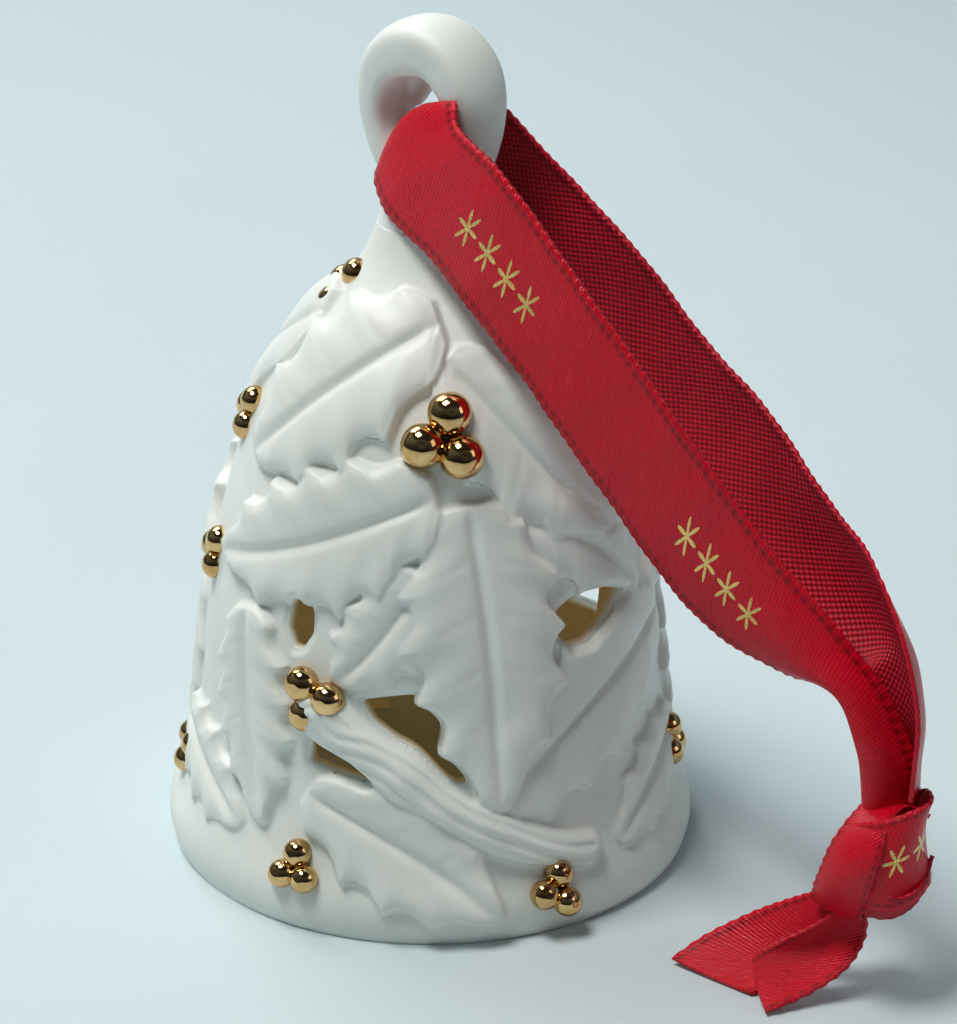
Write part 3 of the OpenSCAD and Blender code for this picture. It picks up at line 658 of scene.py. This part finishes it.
# the shell: outer face sunk a little under the leaves, inner face, rim, openings and crown
sunk = np.where(LABEL > 0, np.minimum(H, -0.12), H)
lab = LABEL == 0
touch = lab | np.roll(lab, 1, 1) | np.roll(lab, -1, 1)
touch[1:] |= touch[:-1]
touch[:-1] |= touch[1:]
sunk = np.where(touch, np.where(lab, H, np.minimum(H, H - 0.06)), sunk)
outer = wall_point(S2, T2, sunk).reshape(-1, 3)
zi = at(S2, PZ)
crown_s = float(np.interp(52.6, PZ, dense))
ri = np.interp(zi, INNER[:, 0], INNER[:, 1])
q = np.clip((S2 - crown_s) / (LONG - crown_s), 0, 1)
ri = np.where(S2 > crown_s, np.interp(52.6, INNER[:, 0], INNER[:, 1]) * (1 - q) + 0.25 * q, ri)
zi = np.where(S2 > crown_s, 52.6 + 0.4 * smoothstep(0, 0.25, q), zi)
ri = ri + 0.05 * wave_noise(ri * np.sin(T2), ri * np.cos(T2), zi, 12, 5) * (1 - q)
inner_p = np.stack([ri * np.sin(T2), -ri * np.cos(T2), zi], -1).reshape(-1, 3)
v, f, n, count = closed_piece(kq, outer, inner_p, flatN, at_hole)
n[:count] = np.where(at_hole[np.unique(kq)][:, None], n[:count], vertex_normals(v, f)[:count])
shell = mesh_object("bell_shell_relief", v, f, SHELL, "bell", ("bell_shell",))
# marks the inner faces, which the shell material paints with warm shade and a faint painted glow
inside = np.zeros(len(v), np.float32)
inside[count:] = 1
deep = shell.data.attributes.new("inside", "FLOAT", "POINT")
deep.data.foreach_set("value", inside)


# ------------------------------------------------------------------ berries
def ball(centre, r, seed, out):
    """A slightly uneven bead, flattened a little along its stalk."""
    nu, nv = 40, 26
    th = np.linspace(0, math.pi, nv + 1)[1:-1]
    ph = 2 * math.pi * np.arange(nu) / nu
    pts = [[0, 0, 1]] + [[math.sin(a) * math.cos(b), math.sin(a) * math.sin(b), math.cos(a)] for a in th for b in ph] + [[0, 0, -1]]
    pts = np.array(pts)
    bulge = 1 + 0.018 * wave_noise(pts[:, 0], pts[:, 1], pts[:, 2], 2.6, seed, 2)
    axis = out / np.linalg.norm(out)
    side_a = np.cross(axis, [0, 0, 1])
    side_a /= np.linalg.norm(side_a)
    side_b = np.cross(axis, side_a)
    local = pts * bulge[:, None]
    eye = np.exp(-((1 - pts[:, 2]) / 0.012))
    world = centre + r * (local[:, :1] * side_a + local[:, 1:2] * side_b + (local[:, 2:] * 0.97 - 0.05 * eye[:, None]) * axis)
    faces = [(0, 1 + k, 1 + (k + 1) % nu) for k in range(nu)]
    for j in range(nv - 2):
        for k in range(nu):
            faces.append((1 + j * nu + k, 1 + (j + 1) * nu + k, 1 + (j + 1) * nu + (k + 1) % nu, 1 + j * nu + (k + 1) % nu))
    last = 1 + (nv - 1) * nu
    base = 1 + (nv - 2) * nu
    faces += [(last, base + (k + 1) % nu, base + k) for k in range(nu)]
    return world, faces


for seed, (name, (ang, z, r, turn, seat)) in enumerate(BERRIES.items()):
    vs, fs = [], []
    seat -= {"berries_shoulder": 0.7, "berries_side_high": 0.35, "berries_side_middle": 0.35, "berries_side_low": 0.35}.get(name, 0)
    for k in range(3):
        t = math.radians(turn + 120 * k)
        across, height = SPREAD * r * math.cos(t), z + SPREAD * r * math.sin(t)
        out_r = float(np.interp(z, OUTER[:, 0], OUTER[:, 1])) + seat
        at_angle = math.radians(ang) + math.atan(across / out_r)
        rad = float(np.interp(height, OUTER[:, 0], OUTER[:, 1])) + seat
        centre = np.array([rad * math.sin(at_angle), -rad * math.cos(at_angle), height])
        s = float(np.interp(height, PZ, dense))
        out = np.array([at(s, NR_) * math.sin(at_angle), -at(s, NR_) * math.cos(at_angle), at(s, NZ_)])
        v, f = ball(centre, FAT * r, seed * 3 + k, out)
        base = sum(len(x) for x in vs)
        vs.append(v)
        fs += [tuple(base + i for i in face) for face in f]
    mesh_object(name + "_gilt", np.concatenate(vs), fs, GILT, "bell", (name,))

# ------------------------------------------------------------------ hanging ring and neck
TURN = math.radians(40)
AX_H = np.array([math.cos(TURN), -math.sin(TURN), 0])
AX_N = np.array([-math.sin(TURN), -math.cos(TURN), 0])
AX_Z = np.array([0, 0, 1.0])
RING_C = np.array([0, 0, 68.3])


def ring_mesh():
    nu, nv = 150, 48
    phi = 2 * math.pi * np.arange(nu) / nu
    psi = 2 * math.pi * np.arange(nv) / nv
    PH, PS = np.meshgrid(phi, psi, indexing="ij")
    limb = 2.3 + 0.08 * np.cos(PH + 0.6) + 0.04 * np.cos(2 * PH) + 0.30 * np.exp(-((PH - 1.75) / 0.75) ** 2)
    groove = -0.34 * np.exp(-(((PS - 2.5 - 0.35 * np.sin(PH) + math.pi) % (2 * math.pi) - math.pi) / 0.30) ** 2)
    ridge = 0.26 * np.exp(-(((PS - 1.9 - 0.35 * np.sin(PH) + math.pi) % (2 * math.pi) - math.pi) / 0.42) ** 2)
    limb = limb + (groove + ridge) * (0.6 + 0.4 * np.cos(PH - 2.4))
    square = 1 - 0.42 * np.clip(np.sin(PH) + 0.5, 0, 1)
    major = 5.35 - 0.25 * np.exp(-((PH - 1.75) / 0.75) ** 2) + limb * np.sign(np.cos(PS)) * np.abs(np.cos(PS)) ** square
    tall = np.where(np.sin(PH) < 0, 1.22, 1.0)
    depth = (1.1 + 0.28 * np.clip(np.sin(PH) + 0.35, 0, 1)) * limb
    v = RING_C + (0.92 * major * np.cos(PH) - 0.25)[..., None] * AX_H + (tall * major * np.sin(PH))[..., None] * AX_Z + (depth * np.sin(PS))[..., None] * AX_N
    i = np.arange(nu * nv).reshape(nu, nv)
    j = np.roll(i, -1, 0)
    f = np.stack([i, j, np.roll(j, -1, 1), np.roll(i, -1, 1)], -1).reshape(-1, 4)
    return v.reshape(-1, 3), f


def curl_mesh():
    """The rolled end of the ring, tucked into the upper left of its eye."""
    nu, nv = 40, 28
    phi = np.linspace(math.radians(35), math.radians(200), nu)
    psi = 2 * math.pi * np.arange(nv) / nv
    PH, PS = np.meshgrid(phi, psi, indexing="ij")
    f_ = (PH - phi[0]) / (phi[-1] - phi[0])
    limb = 1.65 * np.sqrt(np.clip(4 * f_ * (1 - f_), 0.02, 1))
    major = 2.95 + limb * np.cos(PS)
    v = RING_C + (0.92 * major * np.cos(PH) - 0.25)[..., None] * AX_H + (major * np.sin(PH))[..., None] * AX_Z + (1.1 * limb * np.sin(PS) - 1.5)[..., None] * AX_N
    i = np.arange(nu * nv).reshape(nu, nv)
    f = np.stack([i[:-1], i[1:], np.roll(i, -1, 1)[1:], np.roll(i, -1, 1)[:-1]], -1).reshape(-1, 4).tolist()
    f.append([int(x) for x in i[0]])
    f.append([int(x) for x in i[-1]][::-1])
    return v.reshape(-1, 3), f


def neck_mesh():
    zz = np.array([56.2, 57, 58, 59, 60, 61, 62, 63, 63.8])
    rr_ = np.array([4.6, 4.98, 4.8, 4.45, 4.05, 3.7, 3.3, 2.7, 1.8])
    nt = 72
    t = 2 * math.pi * np.arange(nt) / nt
    v = np.stack([np.outer(rr_, np.sin(t)), np.outer(rr_, -np.cos(t)), np.outer(zz, np.ones(nt))], -1).reshape(-1, 3)
    i = np.arange(len(zz) * nt).reshape(len(zz), nt)
    f = np.stack([i[:-1], np.roll(i, -1, 1)[:-1], np.roll(i, -1, 1)[1:], i[1:]], -1).reshape(-1, 4).tolist()
    f.append(list(range(nt))[::-1])
    f.append([int(x) for x in i[-1]])
    return v, f


rv, rf = ring_mesh()
nv_, nf = neck_mesh()
cv_, cf = curl_mesh()
ring = mesh_object("hanging_ring_curl", np.concatenate([rv, nv_, cv_]),
                   rf.tolist() + [[x + len(rv) for x in face] for face in nf] + [[x + len(rv) + len(nv_) for x in face] for face in cf],
                   BISQUE, "bell", ("hanging_ring",))


def apply_modifiers(ob):
    dg = bpy.context.evaluated_depsgraph_get()
    me = bpy.data.meshes.new_from_object(ob.evaluated_get(dg))
    ob.modifiers.clear()
    ob.data = me
    me.shade_smooth()


rm = ring.modifiers.new("fuse", "REMESH")
rm.mode, rm.voxel_size = "VOXEL", 0.00016
sm = ring.modifiers.new("soften", "SMOOTH")
sm.iterations, sm.factor = 14, 0.6
apply_modifiers(ring)

# ------------------------------------------------------------------ clapper
for node, mat in (("clapper_eye", BRASS), ("clapper_link", BRASS), ("clapper_stem", BRASS), ("clapper_bead", BISQUE), ("crown_cement", CEMENT)):
    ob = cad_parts[node]
    ob.data.materials.clear()
    ob.data.materials.append(mat)

# ------------------------------------------------------------------ ribbon
SL = math.radians(42)
AX_S = math.cos(SL) * AX_H - math.sin(SL) * AX_Z
AX_W = math.sin(SL) * AX_H + math.cos(SL) * AX_Z


def hbz(h, b, z):
    return h * AX_H + b * AX_N + z * AX_Z


def swb(s, w, b):
    return RING_C + s * AX_S + w * AX_W + b * AX_N


def seen(h, z, b0, b):
    """The point at offset b that hides behind or in front of (h, z) at offset b0."""
    k_ = (b - b0) / 0.705
    return hbz(h + 0.59 * k_, b, z + 0.39 * k_)


def spline(keys, n):
    """Catmull-Rom through rows of numbers, n samples, chord-length spaced by the first three columns' middle."""
    keys = np.asarray(keys, float)
    mid = (keys[:, 0:3] + keys[:, 3:6]) / 2
    u = np.concatenate([[0], np.cumsum(np.maximum(np.linalg.norm(np.diff(mid, axis=0), axis=1), 0.3) ** 0.75)])
    x = np.linspace(0, u[-1], n)
    slope = np.gradient(keys, u, axis=0)
    i = np.clip(np.searchsorted(u, x, side="right") - 1, 0, len(u) - 2)
    h_ = (u[i + 1] - u[i])[:, None]
    t = ((x - u[i]) / (u[i + 1] - u[i]))[:, None]
    return ((2 * t ** 3 - 3 * t ** 2 + 1) * keys[i] + (t ** 3 - 2 * t ** 2 + t) * h_ * slope[i]
            + (-2 * t ** 3 + 3 * t ** 2) * keys[i + 1] + (t ** 3 - t ** 2) * h_ * slope[i + 1])


def band(name, keys, n, mat, across=26, thick=0.30, u0=0.0, flip=False, scallop=0.10, replaces=(), cut=None):
    """A ribbon from rows of left edge, right edge, cup vector: closed mesh, UV in tenths of millimetres, woven attribute."""
    k_ = spline(keys, n)
    L, R, cup = k_[:, 0:3], k_[:, 3:6], k_[:, 6:9]
    v = np.linspace(-1, 1, across)
    mid = (L + R) / 2
    u = u0 + np.concatenate([[0], np.cumsum(np.linalg.norm(np.diff(mid, axis=0), axis=1))])
    half = (R - L) / 2
    pts = mid[:, None] + half[:, None] * v[None, :, None] + cup[:, None] * (v[None, :, None] ** 2 - 0.45)
    du_ = np.gradient(pts, axis=0)
    dv_ = np.gradient(pts, axis=1)
    nor = np.cross(du_, dv_)
    nor /= np.maximum(np.linalg.norm(nor, axis=2, keepdims=True), 1e-9)
    if flip:
        nor = -nor
    pts = pts + nor * (0.07 * np.sin(2 * math.pi * u[:, None] / 13.7 + 1.7 * v[None, :]) + 0.04 * np.sin(2 * math.pi * u[:, None] / 6.1 - 2.3 * v[None, :]))[..., None]
    if scallop:
        teeth = scallop * (0.5 + 0.5 * np.cos(2 * math.pi * u / 0.95))[:, None]
        w_dir = half / np.maximum(np.linalg.norm(half, axis=1, keepdims=True), 1e-9)
        pts[:, 0] -= w_dir * teeth
        pts[:, -1] += w_dir * teeth
    edge_ = np.exp(-((1 - np.abs(v)) / 0.07) ** 2)
    lump = (0.5 + 0.5 * np.cos(2 * math.pi * u / 0.95))
    th = thick / 2 * (1 + 0.25 * edge_[None, :] * (0.6 + 0.9 * lump[:, None]))
    a = pts + nor * th[..., None]
    b = pts - nor * th[..., None]
    m_, c_ = len(u), across
    i = np.arange(m_ * c_).reshape(m_, c_)
    top = np.stack([i[:-1, :-1], i[1:, :-1], i[1:, 1:], i[:-1, 1:]], -1).reshape(-1, 4)
    if flip:
        top = top[:, ::-1]
    bot = top[:, ::-1] + m_ * c_
    ring_ = np.concatenate([i[:, 0], i[-1, 1:], i[::-1, -1][1:], i[0, ::-1][1:-1]])
    nxt = np.roll(ring_, -1)
    side = np.stack([nxt, ring_, ring_ + m_ * c_, nxt + m_ * c_], 1)
    if flip:
        side = side[:, ::-1]
    faces = np.concatenate([top, bot, side])
    verts = np.concatenate([a.reshape(-1, 3), b.reshape(-1, 3)])
    ob = mesh_object(name, verts, faces, mat, "ribbon", replaces)
    uu = np.repeat(u[:, None], c_, 1)
    vv = 5.3 * v[None] + 0 * uu
    uvs = np.concatenate([np.stack([uu, vv], -1).reshape(-1, 2)] * 2) / 10
    me = ob.data
    loops = np.zeros(len(me.loops), int)
    me.loops.foreach_get("vertex_index", loops)
    layer = me.uv_layers.new(name="cloth")
    layer.data.foreach_set("uv", uvs[loops].astype(np.float32).ravel())
    wv = np.zeros(len(verts), np.float32)
    wv[:m_ * c_] = 1
    me.attributes.new("woven", "FLOAT", "POINT").data.foreach_set("value", wv)
    return ob, float(u[-1] - u0)


def key(L, R, cup=(0, 0, 0)):
    return [*L, *R, *cup]


FRONT = [((-3.7, 62.3), (4.3, 69.5), 2.3, 3.1), ((-1.7, 63.2 - 3.0), (6.2, 70.3 - 1.6), 4.5, 4.6),
         ((3.5, 56.3), (10.5, 65.6), 4.5, 5.7), ((11.2, 50), (17.5, 59.2), 4.5, 6.0),
         ((19.9, 42.2), (25.9, 51.4), 4.5, 5.6), ((28.6, 34.3), (33.7, 44.3), 4.5, 4.2),
         ((34.8, 30.2), (39.9, 38.9), 4.5, 2.6), ((41.9, 28.7), (46, 34.1), 4.5, 1.2),
         ((46.8, 28.6), (50.5, 29.8), 4.5, 0.4), ((49.1, 24.9), (53.5, 25.2), 4.5, -0.3),
         ((50, 19.7), (54.7, 22.1), 4.5, -0.8), ((49.4, 15.6), (53.9, 16.4), 4.5, -0.8)]
BACK = [((2.9, 67.6), -3.3), ((9.5, 63.5), -5.8), ((18.2, 57.8), -6.4), ((24.7, 52.2), -6.3), ((31, 47.6), -5.4),
        ((38.4, 40.5), -3.8), ((44.7, 34.2), -2.6), ((47.1, 29.7), -2.0), ((48.4, 23.6), -1.6), ((48.3, 17.1), -1.4)]
loop_keys = []
# back strand, from the knot up to the ring
for i, ((h, z), b) in reversed(list(enumerate(BACK))):
    R = seen(h, z, -5.4, b)
    wide = [9.4, 10.4, 10.6, 10.6, 10.6, 10.0, 7.2, 5.2, 4.6, 4.2][i]
    turn_ = [0, 0, 0, 0, 0, 6, 24, 48, 64, 76][i]
    ang = SL - math.radians(turn_)
    wd = math.sin(ang) * AX_H + math.cos(ang) * AX_Z if turn_ < 40 else AX_H * math.cos(math.radians(84 - turn_)) + AX_Z * math.sin(math.radians(84 - turn_))
    cup = [0.5, 0.3, 0.2, 0.3, 0.5, 1.0, 2.4, 3.4, 3.8, 4.0][i]
    loop_keys.append(key(R - wide * wd, R, AX_N * cup))
# through the ring
for s, b, wl, wr, cd in ((3.0, -3.0, -3.6, 3.4, 0.4), (1.7, -1.7, -2.8, 2.6, 1.2), (1.25, 0, -2.5, 2.2, 2.0), (1.1, 1.4, -3.2, 2.5, 2.4), (1.05, 2.4, -5.2, 3.3, 2.2)):
    loop_keys.append(key(swb(s, wl, b), swb(s, wr, b), AX_S * cd))
for i, ((lh, lz), (rh, rz), b0, b) in enumerate(FRONT):
    cup = [0.3, 0.2, 0.2, 0.3, 0.3, 0.6, 1.2, 2.2, 3.2, 3.6, 3.4, 2.6][i]
    arch = AX_S * [1.9, 0.9][i] if i < 2 else 0 * AX_S
    loop_keys.append(key(seen(lh, lz, b0, b) - 0.55 * arch, seen(rh, rz, b0, b) - 0.55 * arch, arch if i < 2 else -AX_N * cup))
loop, loop_length = band("ribbon_loop_cloth", loop_keys, 760, SATIN, replaces=("ribbon_loop", "ribbon_throat"), flip=True)
print("loop length", round(loop_length, 1))

# the knot: turns of ribbon drawn tight round the two strands
def turns(name, rows, n, mat=PLAIN, replaces=(), across=20, scallop=0.08, u0=0.0, swap=False):
    """A band through rows of [(left edge h, b, z), (right edge h, b, z), cup along n, cup along h]."""
    ks = [key(hbz(*(r_ if swap else l_)), hbz(*(l_ if swap else r_)), AX_N * cb + AX_H * ch) for l_, r_, cb, ch in rows]
    return band(name, ks, n, mat, across=across, replaces=replaces, scallop=scallop, flip=True, u0=u0)


pieces = []
# left lobe: comes over the top, down across the front and under to the tails
pieces.append(turns("ribbon_knot_lobe", [
    ((47.6, -3.4, 15.6), (51.4, -3.2, 16.6), 0.6, 0), ((46.9, -1.0, 17.3), (50.4, -0.8, 18.0), 0.2, 0),
    ((46.4, 1.4, 16.6), (50.6, 2.4, 17.4), -0.7, 0), ((45.6, 2.9, 14.4), (50.9, 4.0, 15.4), -1.0, 0),
    ((44.7, 3.2, 11.6), (50.4, 4.4, 12.8), -1.1, 0), ((43.9, 2.6, 9.0), (49.4, 3.6, 10.2), -1.0, 0),
    ((43.8, 1.2, 7.0), (48.2, 2.0, 7.9), -0.6, 0), ((44.6, -0.8, 6.4), (47.6, -0.6, 7.0), 0.2, 0),
    ((45.6, -2.4, 7.4), (48.0, -2.4, 7.8), 0.6, 0)], 110, replaces=("ribbon_knot",))[0])
# right lobe: a boxy turn round the side, with a scrap of foil
pieces.append(turns("ribbon_knot_turn", [
    ((47.8, -4.0, 13.0), (48.2, -3.6, 17.4), 0.5, 0.4), ((50.6, -3.2, 12.4), (50.8, -2.8, 19.0), 0, 0.4),
    ((52.4, -1.0, 11.4), (52.3, -0.6, 19.2), -0.3, 0.6), ((52.2, 1.6, 10.3), (51.9, 1.4, 18.9), -0.5, 0.3),
    ((50.6, 3.2, 10.0), (50.2, 2.8, 17.9), -0.7, 0), ((48.2, 3.2, 10.2), (48.3, 2.6, 16.9), -0.5, -0.4),
    ((46.0, 1.6, 10.6), (46.4, 1.4, 15.2), 0, -0.5)], 100, mat=SATIN, u0=FOIL_1 - 7.5, swap=True)[0])
# the curled fold at the lower right
pieces.append(turns("ribbon_knot_fold", [
    ((51.9, -2.6, 13.2), (51.2, -3.4, 9.8), 0, 0.3), ((52.6, -0.2, 12.0), (51.2, -1.0, 8.8), 0, 0.4),
    ((52.4, 1.9, 11.4), (50.4, 1.2, 8.5), -0.3, 0.3), ((50.8, 3.1, 10.9), (48.8, 2.2, 8.6), -0.5, 0),
    ((48.6, 2.8, 10.4), (46.8, 1.6, 8.8), -0.3, -0.2)], 70, swap=True)[0])


def world_band(name, rows, n, replaces, u0):
    """A tail through rows of left edge, right edge and cup, all [x, y, z]."""
    ks = [key(l_, r_, c_) for l_, r_, c_ in rows]
    return band(name, ks, n, PLAIN, across=22, replaces=replaces, u0=u0, flip=True)


t1, l1 = world_band("ribbon_tail_left_cloth", [
    ((35.4, -30.9, 10.4), (37.6, -29.6, 9.6), (0, 0.5, 0)), ((33.0, -29.0, 8.2), (35.6, -30.0, 6.2), (0, 0.8, 0.3)),
    ((30.6, -27.4, 6.3), (33.4, -29.6, 3.0), (0, 0.8, 0.5)), ((27.3, -26.1, 4.0), (30.8, -30.4, 0.9), (0, 0.5, 0.8)),
    ((23.5, -26.0, 1.9), (28.4, -31.6, 0.35), (0, 0.2, 0.5)), ((20.7, -26.9, 0.5), (27.0, -32.1, 0.3), (0, 0, 0.15))],
    130, ("ribbon_tail_left",), 0.0)
t2, l2 = world_band("ribbon_tail_front_cloth", [
    ((34.4, -31.2, 10.2), (37.4, -31.0, 10.2), (0, -0.4, 0)), ((33.4, -31.0, 7.6), (36.5, -31.0, 7.7), (0, -0.7, 0)),
    ((31.6, -30.8, 5.9), (36.3, -31.2, 5.2), (0, -0.9, 0.2)), ((29.6, -30.7, 4.6), (34.9, -32.2, 2.9), (0, -0.8, 0.6)),
    ((28.0, -30.8, 3.6), (31.6, -33.6, 1.1), (0, -0.3, 0.6)), ((27.0, -31.0, 3.0), (27.9, -35.1, 0.35), (0.2, -0.2, 0.2))],
    130, ("ribbon_tail_front",), 0.0)
print("tails", round(l1, 1), round(l2, 1))
pieces += [t1, t2]


# ------------------------------------------------------------------ floor and light
def flat_material(name, lo, hi, scale):
    mat, nt, p = nodes_of(name)
    nt.links.new(ramp(nt, noise(nt, scale, 3), [(0.3, lo), (0.7, hi)]), p.inputs["Base Color"])
    p.inputs["Roughness"].default_value = 0.85
    return mat


floor_me = bpy.data.meshes.new("floor")
prof = [(-0.9, 0.0)] + [(0.40, 0.0)] + [(0.40 + 0.16 * math.sin(a), 0.16 - 0.16 * math.cos(a)) for a in np.linspace(0.15, math.pi / 2, 10)] + [(0.56, 0.9)]
fv = [(x, y, z) for y, z in prof for x in (-1.4, 1.4)]
floor_me.from_pydata(fv, [], [(2 * i, 2 * i + 1, 2 * i + 3, 2 * i + 2) for i in range(len(prof) - 1)])
floor_me.shade_smooth()
floor = bpy.data.objects.new("floor", floor_me)
bpy.context.scene.collection.objects.link(floor)
floor_me.materials.append(flat_material("floor_pale", (0.59, 0.69, 0.72), (0.62, 0.72, 0.75), 6))


def area(name, where, aim, size, power, colour):
    ld = bpy.data.lights.new(name, "AREA")
    ld.shape, ld.size, ld.size_y, ld.energy, ld.color = "RECTANGLE", size[0], size[1], power, colour
    ob = bpy.data.objects.new(name, ld)
    bpy.context.scene.collection.objects.link(ob)
    d_ = np.array(where, float) - np.array(aim, float)
    d_ /= np.linalg.norm(d_)
    x_ = np.cross([0, 0, 1], d_)
    x_ /= np.linalg.norm(x_)
    mt = Matrix([list(x_), list(np.cross(d_, x_)), list(d_)]).transposed().to_4x4()
    mt.translation = where
    ob.matrix_world = mt


area("key", (-0.20, -0.10, 0.66), (0, 0, 0.03), (0.26, 0.20), 3.3, (1.0, 0.985, 0.955))
area("fill", (0.55, -0.25, 0.35), (0, 0, 0.03), (0.30, 0.30), 0.35, (0.92, 0.96, 1.0))
area("back", (-0.25, 0.35, 0.55), (0, 0, 0.04), (0.4, 0.3), 1.9, (0.95, 0.98, 1.0))
wd_ = bpy.data.worlds.new("studio")
wd_.use_nodes = True
sky = add(wd_.node_tree, "ShaderNodeTexCoord")
rise = add(wd_.node_tree, "ShaderNodeSeparateXYZ")
wd_.node_tree.links.new(sky.outputs["Generated"], rise.inputs[0])
veil = ramp(wd_.node_tree, rise.outputs[2], [(0.0, (0.10, 0.115, 0.12)), (0.45, (0.40, 0.45, 0.47)), (0.62, (0.62, 0.70, 0.73)), (0.74, (0.12, 0.12, 0.12)), (1.0, (0.10, 0.10, 0.10))])
side_ = math_node(wd_.node_tree, "MULTIPLY_ADD", rise.outputs[1], 0.5, 0.62, clamp=True)
wd_.node_tree.links.new(veil, wd_.node_tree.nodes["Background"].inputs[0])
wd_.node_tree.links.new(math_node(wd_.node_tree, "MULTIPLY", side_, 0.5), wd_.node_tree.nodes["Background"].inputs[1])
bpy.context.scene.world = wd_
bpy.context.scene.view_settings.view_transform = "Standard"
